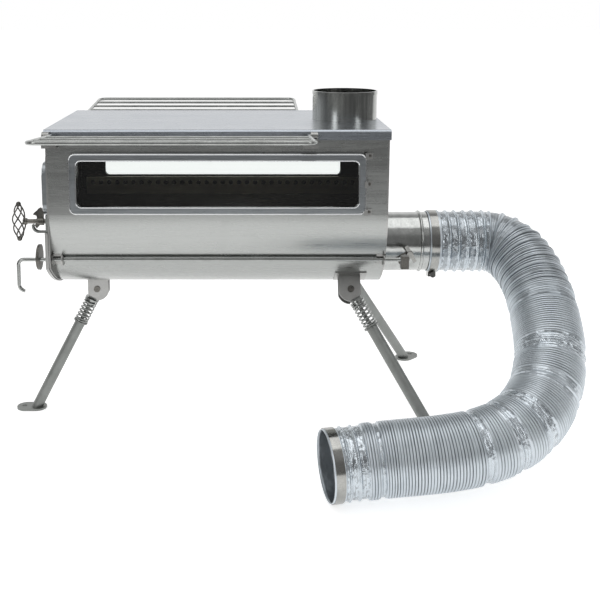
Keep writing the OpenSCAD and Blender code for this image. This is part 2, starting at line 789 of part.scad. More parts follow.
// Door handle: a basket of twisted wires on a shaft
basket_wires = 5;
basket_rings = 14;
basket_sides = 6;
basket_facets = 12;
basket_twist = 210;
neck_r = 2.2;
swell_share = 0.8;
look_share = 0.02;

// One ring of a basket wire at a share of its length, round a vertical axis
function basket_point(k, t) = let (
        swell = pow(sin(180 * t), swell_share),
        r = neck_r + (basket_d / 2 - basket_wire / 2 - neck_r) * swell,
        a = 360 * k / basket_wires + basket_twist * t)
    [r * cos(a), r * sin(a), (t - 0.5) * basket_l];
function wire_ring(c, way, side, r, n) = let (u = unit(cross(way, side)), v = cross(way, u))
    [for (j = [0:n - 1]) c + r * (cos(360 * j / n) * u + sin(360 * j / n) * v)];

// Skin of a closed tube through rings of n points
function tube_faces(rings, n) = concat(
    [for (i = [0:rings - 2], j = [0:n - 1]) [i * n + j, (i + 1) * n + (j + 1) % n, i * n + (j + 1) % n]],
    [for (i = [0:rings - 2], j = [0:n - 1]) [i * n + j, (i + 1) * n + j, (i + 1) * n + (j + 1) % n]],
    [for (j = [1:n - 2]) [0, j, j + 1]],
    [for (j = [1:n - 2]) [(rings - 1) * n, (rings - 1) * n + j + 1, (rings - 1) * n + j]]);

hub_x = door_face - basket_out + basket_d / 2 + basket_wire / 2;

module handle_basket() color(dark) translate([door_face - basket_out, handle_y, handle_z]) {
    hub_l = 2.5 * basket_wire;
    for (k = [0:basket_wires - 1]) {
        points = [for (i = [0:basket_rings]) let (t = i / basket_rings, c = basket_point(k, t),
            way = unit(basket_point(k, min(t + look_share, 1)) - basket_point(k, max(t - look_share, 0))))
            each wire_ring(c, way, [c[0], c[1], 0], basket_wire / 2, basket_sides)];
        polyhedron(points, tube_faces(basket_rings + 1, basket_sides));
    }
    for (s = [-1, 1]) translate([0, 0, s * basket_l / 2]) sphere(d = ball_d, $fn = basket_facets);
    translate([basket_d / 2 + basket_wire / 2 - hub_l, 0, 0]) rotate([0, 90, 0])
        cylinder(d = 1.5 * shaft_d, h = hub_l, $fn = basket_facets);
}

module handle_shaft() color(dark) translate([0, handle_y, handle_z]) {
    bar_x(hub_x, door_face + 2 * sheet, shaft_d);
    bar_x(door_face + sheet + gap, door_face + 2 * sheet + gap, shaft_d + 4);
}

// Latch cam on the shaft, close to the door face. At rest its tongue points up, clear of the
// keeper; a quarter turn brings the tongue behind the keeper's nose.
cam_in = 5.9;
cam_depth = 14;
cam_up = 18.5;
cam_hub_wall = 2;
cam_nose_share = 0.57;
// Outline, as shares of the depth away from the door and of the height over the shaft
CAM_SHARES = [
    [0.07, 0], [0, 0.38], [0, 0.78], [0.12, 0.94], [0.32, 1], [0.48, 0.92], [cam_nose_share, 0.83],
    [0.74, 0.72], [0.9, 0.62], [1, 0.5], [0.85, 0.48], [0.66, 0.42], [0.62, 0.27], [0.72, 0.12],
    [0.72, -0.12], [0.86, -0.26], [0.66, -0.5], [0.4, -0.28]
];
module latch_cam() color(dark) translate([0, handle_y, handle_z]) difference() {
    x1 = door_face - cam_in;
    union() {
        along_y(-cam_t / 2, cam_t)
            polygon([for (share = CAM_SHARES) [x1 - share[0] * cam_depth, share[1] * cam_up]]);
        bar_x(x1 - cam_nose_share * cam_depth, x1, shaft_d + 2 * cam_hub_wall);
    }
    bar_x(x1 - cam_depth - over, x1 + over, shaft_d);
}

// Keeper beside the door: a hook on a plate, with an upturned nose that the cam's tongue turns behind
keeper_w = 8;
keeper_t = 2;
keeper_base_t = 3;
keeper_base_l = 23;
keeper_inset = 2;
keeper_bend = 9;
keeper_play = 1;

// A rectangle with its corner at the origin rounded
module one_round_corner(l, h, r) {
    translate([r, 0]) square([l - r, h]);
    translate([0, r]) square([l, h - r]);
    intersection() {
        translate([r, r]) circle(r = r);
        square([l, h]);
    }
}

module latch_keeper() color(leg_grey) translate([0, 0, sill_z]) {
    nose_x = door_face - cam_in - cam_nose_share * cam_depth - keeper_play;
    nose_h = handle_z - sill_z;
    along_y(keeper_inset - front_half, keeper_w) {
        difference() {
            translate([nose_x - keeper_t, 0])
                one_round_corner(front_face - nose_x + keeper_t, nose_h, keeper_bend);
            translate([nose_x, keeper_t])
                one_round_corner(front_face - nose_x, nose_h, keeper_bend - keeper_t);
        }
        translate([front_face - keeper_base_t, 0]) square([keeper_base_t, keeper_base_l]);
    }
}

// Air control rod with its bent handle, the draft disc and the lug that drives the damper
rod_bend = 7;
grip_l = 27;
hook_r = 8.4;
hook_turn = 85;
module control_rod() color(bright) translate([0, rod_y, rod_z]) {
    bar_x(rod_x0 + rod_bend, rod_x1, rod_d);
    translate([rod_x0 + rod_bend, 0, -rod_bend]) rotate([90, -90, 0]) wire_bend(rod_bend, rod_d);
    translate([rod_x0, 0, -rod_bend - grip_l]) cylinder(d = rod_d, h = grip_l);
    translate([rod_x0 + hook_r, 0, -rod_bend - grip_l]) rotate([90, 180, 0])
        wire_bend(hook_r, rod_d, hook_turn);
}

module draft_disc() color(dark) difference() {
    translate([0, disc_y, disc_z]) union() {
        bar_x(disc_x - disc_t, disc_x, disc_d);
        translate([disc_x - disc_t, 0, 0]) rotate([0, 90, 0]) rotate_extrude()
            translate([disc_d / 2 - sheet, 0]) circle(d = 2 * sheet);
    }
    translate([0, rod_y, rod_z]) bar_x(disc_x - 3 * disc_t, disc_x + over, rod_d);
}

module rod_end_lug() color(dark) difference() {
    lug_w = 5;
    lug_z0 = crank_pin_z - crank_pin_d / 2 - crank_play;
    union() {
        along_y(rod_y - rod_d, 2 * rod_d) translate([crank_pin_x - lug_w, lug_z0])
            square([2 * lug_w, rod_z + rod_d - lug_z0]);
        translate([crank_pin_x, 0, crank_pin_z]) {
            bar_y(rod_y, crank_y + crank_t + 3 * gap, crank_pin_d);
            bar_y(rod_y, crank_y - damper_nut_l - over, crank_pin_d + crank_play);
        }
    }
    translate([0, rod_y, rod_z]) bar_x(crank_pin_x - 3 * lug_w, rod_x1, rod_d);
}

module damper_shaft() color(bright) translate([damper_x, 0, pipe_z]) {
    slot_half = pipe_r - pipe_wall - gap / 3;
    difference() {
        bar_y(damper_y0, pipe_r + end_t, damper_d);
        rotate([0, -damper_tilt, 0]) translate([-sheet / 2, -slot_half, -damper_d])
            cube([sheet, 2 * slot_half, 2 * damper_d]);
    }
    bar_y(pipe_r + gap, pipe_r + end_t, damper_d + 2 * end_t);
    bar_y(crank_y + crank_t + gap, crank_y + crank_t + gap + end_t, damper_d + 2 * end_t);
}

// Damper plate: a disc in the slot of the shaft, standing almost across the pipe when the rod is pulled out
module damper_plate() color(steel) translate([damper_x, 0, pipe_z]) rotate([0, -damper_tilt, 0])
    bar_x(-sheet / 2, sheet / 2, pipe_d - 2 * pipe_wall - 2 * gap);

module damper_crank() color(dark) translate([damper_x, 0, pipe_z]) difference() {
    crank_rim = 2;
    reach = norm([crank_back, crank_drop]) + crank_pin_d / 2 + crank_play / 2 + crank_rim;
    slot_x = damper_d / 2 + crank_rim;
    arm_w = crank_slot + 2 * crank_rim;
    along_y(crank_y, crank_t) rotate(crank_angle) difference() {
        union() {
            circle(d = damper_d + 2 * crank_rim);
            translate([0, -arm_w / 2]) square([reach, arm_w]);
        }
        translate([slot_x, -crank_slot / 2]) square([reach - slot_x - crank_rim, crank_slot]);
    }
    bar_y(crank_y - over, crank_y + crank_t + over, damper_d);
}

module damper_nut() color(bright) difference() {
    nut_w = 10;
    wing = 5;
    translate([damper_x, 0, pipe_z]) rotate([0, -crank_angle - 90, 0]) union() {
        translate([0, crank_y - gap / 2, 0]) rotate([90, 0, 0])
            cylinder(d = nut_w, h = damper_nut_l - gap / 2, $fn = 6);
        for (s = [-1, 1]) translate([s * (nut_w / 2 + wing / 2), crank_y - damper_nut_l / 2, wing / 4])
            cube([2 * wing, sheet, wing], center = true);
    }
    translate([damper_x, 0, pipe_z]) bar_y(damper_y0 - over, crank_y + over, damper_d);
}

// Legs. A leg's frame has its pivot at the origin, local X away from the stove's middle and
// local Z from the foot side to the wall.
module leg_frame(leg) {
    translate(pivot(leg)) rotate([leg[2], 0, 0]) scale([leg[1], 1, 1]) children();
}

module leg_axis(leg) {
    leg_frame(leg) rotate([0, -splay, 0]) children();
}

module ear_section() difference() {
    union() {
        translate([-ear_in, 0]) square([ear_in + ear_out, pivot_h - sheet / 2]);
        intersection() {
            circle(r = cam_r);
            translate([-ear_in, -cam_r]) square([ear_in + ear_out, cam_r]);
        }
    }
    rotate(splay) translate([-lock_w / 2, -lock_flat - cam_r]) square([lock_w, cam_r]);
    circle(d = pin_d + 2 * bore_gap);
}

module leg_bracket(leg) color(steel) {
    leg_frame(leg) for (s = [-1, 1])
        along_y(s * (ear_gap / 2 + ear_t / 2) - ear_t / 2, ear_t) ear_section();
    translate([leg[1] * pivot_x - base_l / 2, 0, 0]) {
        if (leg[2] == 0) translate([0, -base_w / 2, ground_h - sheet]) cube([base_l, base_w, sheet]);
        else along_x(0, base_l) intersection() {
            difference() {
                translate([sign(leg[2]) * belly_flat, belly_z]) circle(r = belly_r + sheet, $fn = 96);
                translate([sign(leg[2]) * belly_flat, belly_z]) circle(r = belly_r, $fn = 96);
            }
            translate(wall_point(leg[2])) rotate(leg[2]) square([base_w, base_w], center = true);
        }
    }
}

module leg_pivot_pins() color(bright) for (leg = LEGS) leg_frame(leg) {
    out = ear_gap / 2 + ear_t;
    bar_y(-out - pin_head_t, out + pin_head_t, pin_d);
    for (s = [-1, 1]) bar_y(s > 0 ? out : -out - pin_head_t, s > 0 ? out + pin_head_t : -out, pin_head_d);
}

module leg_tube(leg) color(leg_grey) difference() {
    leg_axis(leg) {
        l = leg_length(leg) + leg_d;
        tube_z = -spring_end - washer_t;
        plug_l = 12;
        difference() {
            along_y(-head_t / 2, head_t) {
                circle(r = head_r);
                translate([-head_w / 2, -head_end]) square([head_w, head_end]);
            }
            bar_y(-ear_gap, ear_gap, pin_d + 2 * bore_gap);
        }
        translate([0, 0, tube_z - plug_l]) cylinder(d = core_d, h = -tube_z + plug_l - head_end + over);
        translate([0, 0, tube_z]) cylinder(d = spring_d + gap, h = washer_t);
        translate([0, 0, tube_z - plug_l]) cylinder(d = leg_d - leg_wall, h = plug_l);
        difference() {
            translate([0, 0, -l]) cylinder(d = leg_d, h = l + tube_z);
            translate([0, 0, -l - over]) cylinder(d = leg_d - 2 * leg_wall, h = l + tube_z - plug_l + over);
        }
    }
    translate([ankle(leg)[0] - foot_l, ankle(leg)[1] - foot_l, foot_t - 2 * foot_l]) cube(2 * foot_l);
}

module foot_plate(leg) color(leg_grey) translate([ankle(leg)[0], ankle(leg)[1], 0])
    rotate(heading(leg)) difference() {
        near = foot_w / 2 - foot_l * foot_in_share;
        linear_extrude(foot_t) {
            translate([near, 0]) circle(d = foot_w);
            translate([foot_far, 0]) circle(d = foot_w);
            translate([near, -foot_w / 2]) square([foot_far - near, foot_w]);
        }
        translate([foot_far + 2 * sheet, 0, -over]) cylinder(r = peg_r, h = foot_t + 2 * over);
    }

module lock_sleeve(leg) color(bright) leg_axis(leg) difference() {
    union() {
        translate([0, 0, -sleeve_top - sleeve_flange_t])
            cylinder(d = sleeve_flange_d, h = sleeve_flange_t);
        translate([0, 0, -sleeve_top - sleeve_flange_t - sleeve_nose_l])
            cylinder(d = sleeve_nose_d, h = sleeve_nose_l + over);
    }
    translate([0, 0, -spring_end]) cylinder(d = core_d + 2 * gap, h = spring_end);
}

// Leg spring: an open helix with one closer turn at each end
coil_rings = 8;
coil_sides = 6;
coil_r = (spring_d - spring_wire) / 2;
coil_z0 = sleeve_top + sleeve_flange_t + gap + spring_wire / 2;
coil_z1 = spring_end - gap - spring_wire / 2;
end_pitch = spring_wire + 0.7;
function coil_z(turn) = turn < 1 ? coil_z0 + end_pitch * turn
    : turn > spring_turns - 1 ? coil_z1 - end_pitch * (spring_turns - turn)
    : coil_z0 + end_pitch + (coil_z1 - coil_z0 - 2 * end_pitch) * (turn - 1) / (spring_turns - 2);
function coil_point(turn) = [coil_r * cos(360 * turn), coil_r * sin(360 * turn), -coil_z(turn)];
COIL = [for (i = [0:spring_turns * coil_rings]) coil_point(i / coil_rings)];
coil_gap = min([for (i = [0:len(COIL) - 1], j = [i + coil_rings / 2:1:len(COIL) - 1])
    norm(COIL[i] - COIL[j])]) - spring_wire;
echo(spring_least_gap_mm = coil_gap);

module leg_spring(leg) color(bright) leg_axis(leg) {
    points = [for (i = [0:spring_turns * coil_rings]) let (turn = i / coil_rings,
        way = unit(coil_point(min(turn + look_share, spring_turns)) - coil_point(max(turn - look_share, 0))))
        each wire_ring(COIL[i], way, [0, 0, 1], spring_wire / 2, coil_sides)];
    polyhedron(points, tube_faces(spring_turns * coil_rings + 1, coil_sides));
}

// Air hose: outer ribs and a plain bore as one skin, with smooth cuffs for the clamps
rib_l = (hose_l - 2 * cuff_l) / ribs;
RIB_STATIONS = concat([[0, cuff_d / 2], [cuff_l - gap, cuff_d / 2]],
    [for (i = [0:ribs - 1]) each
        [[cuff_l + i * rib_l, hose_d / 2 - rib_depth], [cuff_l + (i + 0.5) * rib_l, hose_d / 2]]],
    [[hose_l - cuff_l + gap, cuff_d / 2], [hose_l, cuff_d / 2]]);

module hose() color(foil) {
    n = hose_sides;
    outer = len(RIB_STATIONS);
    inner = bore_rings;
    points = concat(
        [for (st = RIB_STATIONS) each hose_ring(st[0], st[1])],
        [for (i = [0:inner - 1]) each hose_ring(hose_l * (inner - 1 - i) / (inner - 1), hose_bore_d / 2)]);
    total = outer + inner;
    faces = [for (i = [0:total - 1], j = [0:n - 1])
        let (a = i * n, b = ((i + 1) % total) * n, k = (j + 1) % n)
        each [[a + j, b + k, a + k], [a + j, b + j, b + k]]];
    polyhedron(points, faces);
}

module at_hose(s) {
    way = hose_way(s);
    translate(hose_at(s)) rotate([0, acos(way[2]), atan2(way[1], way[0])]) children();
}

// Worm-drive clamp: a band with its screw housing and screw
module hose_clamp(s, turn) color(bright) at_hose(s) rotate([0, 0, turn]) {
    r = cuff_d / 2 + gap;
    housing_l = 16;
    housing_h = 7;
    screw_d = 6;
    screw_head = 1;
    difference() {
        union() {
            cylinder(r = r + clamp_t, h = clamp_w, center = true);
            translate([r + housing_h / 2, 0, 0]) cube([housing_h, housing_l, clamp_w], center = true);
        }
        cylinder(r = r, h = 2 * clamp_w, center = true);
        translate([r + clamp_t + screw_d / 2 - gap, 0, 0]) bar_y(-housing_l, housing_l, screw_d + 2 * gap);
    }
    translate([r + clamp_t + screw_d / 2 - gap, 0, 0]) {
        bar_y(-housing_l * 0.75, housing_l * 0.6, screw_d);
        bar_y(-housing_l, -housing_l * 0.6, screw_d + 2 * screw_head);
    }
}

// Moves a piece from the middle of the firebox to the part's own origin
module placed() {
    translate([origin_x, 0, 0]) children();
}

placed() barrel();
placed() top_plate();
placed() flue_collar();
placed() end_frame();
placed() front_panel();
placed() back_plate();
placed() window_frame(-1);  // window_frame_front
placed() window_glass(-1);  // window_glass_front
placed() window_frame(1);  // window_frame_rear
placed() window_glass(1);  // window_glass_rear
placed() window_seals();
placed() window_clips();
placed() fire_grate();
placed() baffle_plate();
placed() air_channel(-1);  // air_channel_front
placed() air_channel(1);  // air_channel_rear
placed() air_pipe();
placed()  // rod_bracket_left
    rod_bracket(bracket_x0, bracket_x0 + bracket_left_l,
        [bracket_x0, bracket_x0 + bracket_left_l - lug_flange]);
placed()  // rod_bracket_right
    rod_bracket(bracket_x1 - bracket_right_l, bracket_x1, [bracket_x1 - lug_flange]);
placed() rack_hinges(-1);  // rack_hinges_front
placed() rack_hinges(1);  // rack_hinges_rear
placed() leg_bracket(LEGS[0]);  // leg_bracket_left
placed() leg_bracket(LEGS[1]);  // leg_bracket_front
placed() leg_bracket(LEGS[2]);  // leg_bracket_rear
placed() leg_pivot_pins();
placed() latch_keeper();
placed() door_hinge_leaf();
placed() door_hinge_pin();
placed() door_pan();
placed() door_window_frame();
placed() door_glass();
placed() door_seal();
placed() door_hinge_straps();
placed() handle_basket();
placed() handle_shaft();
placed() latch_cam();
placed() control_rod();
placed() rod_end_lug();
placed() draft_disc();
placed() damper_plate();
placed() damper_shaft();
placed() damper_crank();
placed() damper_nut();
placed() rack(-1);  // rack_front
placed() rack(1);  // rack_rear
placed() leg_tube(LEGS[0]);  // leg_left
placed() foot_plate(LEGS[0]);  // foot_left
placed() leg_spring(LEGS[0]);  // spring_left
placed() lock_sleeve(LEGS[0]);  // sleeve_left
placed() leg_tube(LEGS[1]);  // leg_front
placed() foot_plate(LEGS[1]);  // foot_front
placed() leg_spring(LEGS[1]);  // spring_front
placed() lock_sleeve(LEGS[1]);  // sleeve_front
placed() leg_tube(LEGS[2]);  // leg_rear
placed() foot_plate(LEGS[2]);  // foot_rear
placed() leg_spring(LEGS[2]);  // spring_rear
placed() lock_sleeve(LEGS[2]);  // sleeve_rear
placed() hose();
placed() hose_clamp(cuff_l / 2, upper_turn);  // hose_clamp_upper
placed() hose_clamp(hose_l - cuff_l / 2, lower_turn);  // hose_clamp_lower
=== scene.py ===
"""Looks of a tent wood stove: brushed sheet metal, glass, wire racks, spring-lock legs and a foil air hose."""

import json
import logging
import math
from dataclasses import dataclass
from enum import Enum
from functools import cache

import bmesh
import bpy
from mathutils import Matrix, Vector, noise


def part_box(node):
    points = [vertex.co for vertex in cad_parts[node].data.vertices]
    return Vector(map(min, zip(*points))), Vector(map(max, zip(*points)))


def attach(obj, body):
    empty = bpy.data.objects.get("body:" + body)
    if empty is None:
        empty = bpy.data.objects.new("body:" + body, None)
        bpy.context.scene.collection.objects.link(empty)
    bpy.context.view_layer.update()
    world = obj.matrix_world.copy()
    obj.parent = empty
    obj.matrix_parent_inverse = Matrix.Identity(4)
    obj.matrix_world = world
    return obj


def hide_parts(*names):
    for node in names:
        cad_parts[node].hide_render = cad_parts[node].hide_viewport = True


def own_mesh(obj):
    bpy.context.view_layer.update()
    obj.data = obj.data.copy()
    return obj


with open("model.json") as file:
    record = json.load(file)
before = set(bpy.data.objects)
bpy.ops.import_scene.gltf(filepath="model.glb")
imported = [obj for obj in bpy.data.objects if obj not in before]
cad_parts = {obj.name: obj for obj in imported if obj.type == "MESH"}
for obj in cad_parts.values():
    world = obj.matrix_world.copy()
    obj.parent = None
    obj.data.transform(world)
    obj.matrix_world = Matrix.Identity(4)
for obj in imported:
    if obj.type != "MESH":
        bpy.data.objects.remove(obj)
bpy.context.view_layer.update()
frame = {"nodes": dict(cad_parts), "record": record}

log = logging.getLogger("stove")
Point = tuple[float, float, float]
Color = tuple[float, float, float]
Tree = bpy.types.NodeTree


class Grain(Enum):
    """Direction in which a metal sheet is brushed, as the stretch of its brush lines."""

    ALONG_X = (0.03, 1.0, 1.0)
    ALONG_Y = (1.0, 0.03, 1.0)
    ALONG_Z = (1.0, 1.0, 0.03)
    NONE = (1.0, 1.0, 1.0)


def new_group(name: str, inputs: dict[str, tuple[str, float | Point]], outputs: tuple[str, ...]) -> tuple:
    """Starts a shader node group.

    Args:
        name: The group's name.
        inputs: Socket names, each with its socket type and its default.
        outputs: Names of the numbers that it puts out.

    Returns:
        The node tree, its input node and its output node.
    """
    tree = bpy.data.node_groups.new(name, "ShaderNodeTree")
    for label, (kind, default) in inputs.items():
        socket = tree.interface.new_socket(label, in_out="INPUT", socket_type=kind)
        socket.default_value = default
    for label in outputs:
        tree.interface.new_socket(label, in_out="OUTPUT", socket_type="NodeSocketFloat")
    return tree, tree.nodes.new("NodeGroupInput"), tree.nodes.new("NodeGroupOutput")


def add_node(tree: Tree, kind: str, links: dict | None = None, **values: object) -> bpy.types.Node:
    """Adds a node, sets its properties and sockets, and links its inputs.

    Args:
        tree: The node tree.
        kind: The node's type without the word ShaderNode.
        links: Input names or numbers, each with the output socket that feeds it.
        values: Node properties, or input sockets written as in_NAME or in_NUMBER.

    Returns:
        The new node.
    """
    node = tree.nodes.new("ShaderNode" + kind)
    for key, value in values.items():
        if key.startswith("in_"):
            slot = key[3:].replace("_", " ")
            node.inputs[int(slot) if slot.isdigit() else slot].default_value = value
        else:
            setattr(node, key, value)
    for key, socket in (links or {}).items():
        tree.links.new(socket, node.inputs[key])
    return node


class SharedNodes:
    """Node groups that several finishes use, each built once."""

    @cache
    def brushed(self) -> Tree:
        """Builds the fine brush lines: a tint mask, a roughness and a height.

        Returns:
            The group's node tree.
        """
        tree, given, out = new_group(
            "brushed_metal",
            {"Stretch": ("NodeSocketVector", (1.0, 1.0, 1.0)), "Lines": ("NodeSocketFloat", 900.0),
             "Roughness": ("NodeSocketFloat", 0.3), "Spread": ("NodeSocketFloat", 0.12)},
            ("Mask", "Roughness", "Height"))
        place = add_node(tree, "TexCoord")
        along = add_node(tree, "VectorMath", {0: place.outputs["Object"], 1: given.outputs["Stretch"]},
                         operation="MULTIPLY")
        fine = add_node(tree, "TexNoise", {"Vector": along.outputs[0], "Scale": given.outputs["Lines"]},
                        in_Detail=3.0, in_Roughness=0.7)
        broad = add_node(tree, "TexNoise", {"Vector": along.outputs[0]}, in_Scale=60.0, in_Detail=4.0)
        both = add_node(tree, "Math", {0: fine.outputs[0], 1: broad.outputs[0]}, operation="MULTIPLY")
        mask = add_node(tree, "MapRange", {"Value": both.outputs[0]}, in_1=0.1, in_2=0.45)
        centred = add_node(tree, "Math", {0: mask.outputs[0]}, operation="SUBTRACT", in_1=0.5)
        rough = add_node(tree, "Math", {0: centred.outputs[0], 1: given.outputs["Spread"],
                                        2: given.outputs["Roughness"]}, operation="MULTIPLY_ADD")
        tree.links.new(mask.outputs[0], out.inputs["Mask"])
        tree.links.new(rough.outputs[0], out.inputs["Roughness"])
        tree.links.new(fine.outputs[0], out.inputs["Height"])
        return tree

    @cache
    def smudges(self) -> Tree:
        """Builds the soft handling marks and slow waves in the sheet: a mask and a height.

        Returns:
            The group's node tree.
        """
        tree, given, out = new_group(
            "handling_marks",
            {"Scale": ("NodeSocketFloat", 14.0), "Cover": ("NodeSocketFloat", 0.5)},
            ("Mask", "Height"))
        place = add_node(tree, "TexCoord")
        cloud = add_node(tree, "TexNoise", {"Vector": place.outputs["Object"], "Scale": given.outputs["Scale"]},
                         in_Detail=5.0, in_Roughness=0.62, in_Distortion=0.6)
        cut = add_node(tree, "MapRange", {"Value": cloud.outputs[0], 1: given.outputs["Cover"]}, in_2=0.85)
        slow = add_node(tree, "TexNoise", {"Vector": place.outputs["Object"]}, in_Scale=5.0, in_Detail=1.0)
        tree.links.new(cut.outputs[0], out.inputs["Mask"])
        tree.links.new(slow.outputs[0], out.inputs["Height"])
        return tree

    @cache
    def inner_face(self) -> Tree:
        """Finds the faces that look into the firebox: a mask that is 1 on them.

        Returns:
            The group's node tree.
        """
        tree, given, out = new_group(
            "inner_face",
            {"Centre": ("NodeSocketVector", (0.0, 0.0, 0.0)), "Weights": ("NodeSocketVector", (0.0, 0.0, 0.0))},
            ("Mask",))
        place = add_node(tree, "TexCoord")
        away = add_node(tree, "VectorMath", {0: place.outputs["Object"], 1: given.outputs["Centre"]},
                        operation="SUBTRACT")
        flat = add_node(tree, "VectorMath", {0: away.outputs[0], 1: given.outputs["Weights"]},
                        operation="MULTIPLY")
        low = add_node(tree, "VectorMath", {0: flat.outputs[0]}, operation="MINIMUM", in_1=(9.0, 9.0, 0.0))
        facing = add_node(tree, "VectorMath", {0: low.outputs[0], 1: place.outputs["Normal"]},
                          operation="DOT_PRODUCT")
        mask = add_node(tree, "Math", {0: facing.outputs["Value"]}, operation="LESS_THAN", in_1=-0.0001)
        tree.links.new(mask.outputs[0], out.inputs["Mask"])
        return tree

    @cache
    def crinkle(self) -> Tree:
        """Builds creased foil: sharp facets and fine wrinkles as a mask and a height.

        Returns:
            The group's node tree.
        """
        tree, given, out = new_group(
            "creased_foil",
            {"Scale": ("NodeSocketFloat", 120.0), "Fine": ("NodeSocketFloat", 420.0)},
            ("Mask", "Height"))
        place = add_node(tree, "TexCoord")
        warp = add_node(tree, "TexNoise", {"Vector": place.outputs["Object"]}, in_Scale=40.0, in_Detail=2.0)
        push = add_node(tree, "VectorMath", {0: warp.outputs["Color"], 2: place.outputs["Object"]},
                        operation="MULTIPLY_ADD", in_1=(0.02, 0.02, 0.02))
        facets = add_node(tree, "TexVoronoi", {"Vector": push.outputs[0], "Scale": given.outputs["Scale"]},
                          feature="F1")
        fine = add_node(tree, "TexNoise", {"Vector": push.outputs[0], "Scale": given.outputs["Fine"]},
                        in_Detail=4.0, in_Roughness=0.6)
        total = add_node(tree, "Math", {0: fine.outputs[0], 2: facets.outputs["Distance"]},
                         operation="MULTIPLY_ADD", in_1=0.35)
        tree.links.new(facets.outputs["Distance"], out.inputs["Mask"])
        tree.links.new(total.outputs[0], out.inputs["Height"])
        return tree


SHARED = SharedNodes()


def place_group(tree: Tree, group: Tree, **values: object) -> bpy.types.Node:
    """Places a shared group in a material.

    Args:
        tree: The material's node tree.
        group: The shared group.
        values: The group's input values by name.

    Returns:
        The group node.
    """
    node = tree.nodes.new("ShaderNodeGroup")
    node.node_tree = group
    for key, value in values.items():
        node.inputs[key].default_value = value
    return node


def principled(name: str) -> tuple[bpy.types.Material, Tree, bpy.types.Node]:
    """Starts a material with one Principled shader.

    Args:
        name: The material's name.

    Returns:
        The material, its node tree and its shader node.
    """
    material = bpy.data.materials.new(name)
    material.use_nodes = True
    tree = material.node_tree
    return material, tree, tree.nodes["Principled BSDF"]


@dataclass(frozen=True)
class Metal:
    """Finish of a bare metal: brush lines, handling marks, slow waves, and painted shade on the faces inside the
    firebox.

    Attributes:
        light: Colour of the brush lines' crests.
        deep: Colour between them.
        roughness: The middle roughness.
        spread: How far the brush lines change the roughness.
        grain: The way in which it is brushed.
        lines: Fineness of the brush lines.
        line_strength: Strength of their relief.
        wave_depth: Strength of the sheet's slow waves.
        marks: Strength of the handling marks.
        worn: Share of the deep colour that a full handling mark keeps.
        inner_centre: Middle of the room that the inner faces look at.
        inner_weights: Which axes count in finding them; all 0 finds none.
        painted_inner_shade: Colour of the painted shade on the inner faces.
    """

    name: str
    light: Color
    deep: Color
    roughness: float
    spread: float = 0.1
    grain: Grain = Grain.ALONG_X
    lines: float = 700.0
    line_strength: float = 0.2
    wave_depth: float = 0.15
    marks: float = 0.12
    worn: float = 0.62
    metallic: float = 1.0
    anisotropic: float = 0.0
    inner_centre: Point = (0.0, 0.0, 0.0)
    inner_weights: Point = (0.0, 0.0, 0.0)
    painted_inner_shade: Color = (0.045, 0.042, 0.036)

    def make(self) -> bpy.types.Material:
        """Builds the material, or finds the one that is there already.

        Returns:
            The material.
        """
        found = bpy.data.materials.get(self.name)
        if found:
            return found
        material, tree, shader = principled(self.name)
        brushed = place_group(tree, SHARED.brushed(), Stretch=self.grain.value, Lines=self.lines,
                              Roughness=self.roughness, Spread=self.spread)
        marks = place_group(tree, SHARED.smudges(), Scale=16.0, Cover=0.5)
        tint = add_node(tree, "Mix", {"Factor": brushed.outputs["Mask"]}, data_type="RGBA",
                        in_6=(*self.deep, 1.0), in_7=(*self.light, 1.0))
        soften = add_node(tree, "Math", {0: marks.outputs["Mask"]}, operation="MULTIPLY", in_1=self.marks)
        aged = add_node(tree, "Mix", {"Factor": soften.outputs[0], 6: tint.outputs[2]}, data_type="RGBA",
                        in_7=(*(c * self.worn for c in self.deep), 1.0))
        rough = add_node(tree, "Math", {0: soften.outputs[0], 1: brushed.outputs["Roughness"]}, operation="ADD")
        wave = add_node(tree, "Bump", {"Height": marks.outputs["Height"]}, in_Strength=self.wave_depth,
                        in_Distance=0.004)
        lines = add_node(tree, "Bump", {"Height": brushed.outputs["Height"], "Normal": wave.outputs[0]},
                         in_Strength=self.line_strength, in_Distance=0.0004)
        # Painted shade: the faces that look into the firebox take a dark colour in place of the metal's own.
        inner = place_group(tree, SHARED.inner_face(), Centre=self.inner_centre, Weights=self.inner_weights)
        color = add_node(tree, "Mix", {"Factor": inner.outputs["Mask"], 6: aged.outputs[2]}, data_type="RGBA",
                         in_7=(*self.painted_inner_shade, 1.0))
        tree.links.new(color.outputs[2], shader.inputs["Base Color"])
        tree.links.new(rough.outputs[0], shader.inputs["Roughness"])
        tree.links.new(lines.outputs[0], shader.inputs["Normal"])
        shader.inputs["Metallic"].default_value = self.metallic
        shader.inputs["Anisotropic"].default_value = self.anisotropic
        return material


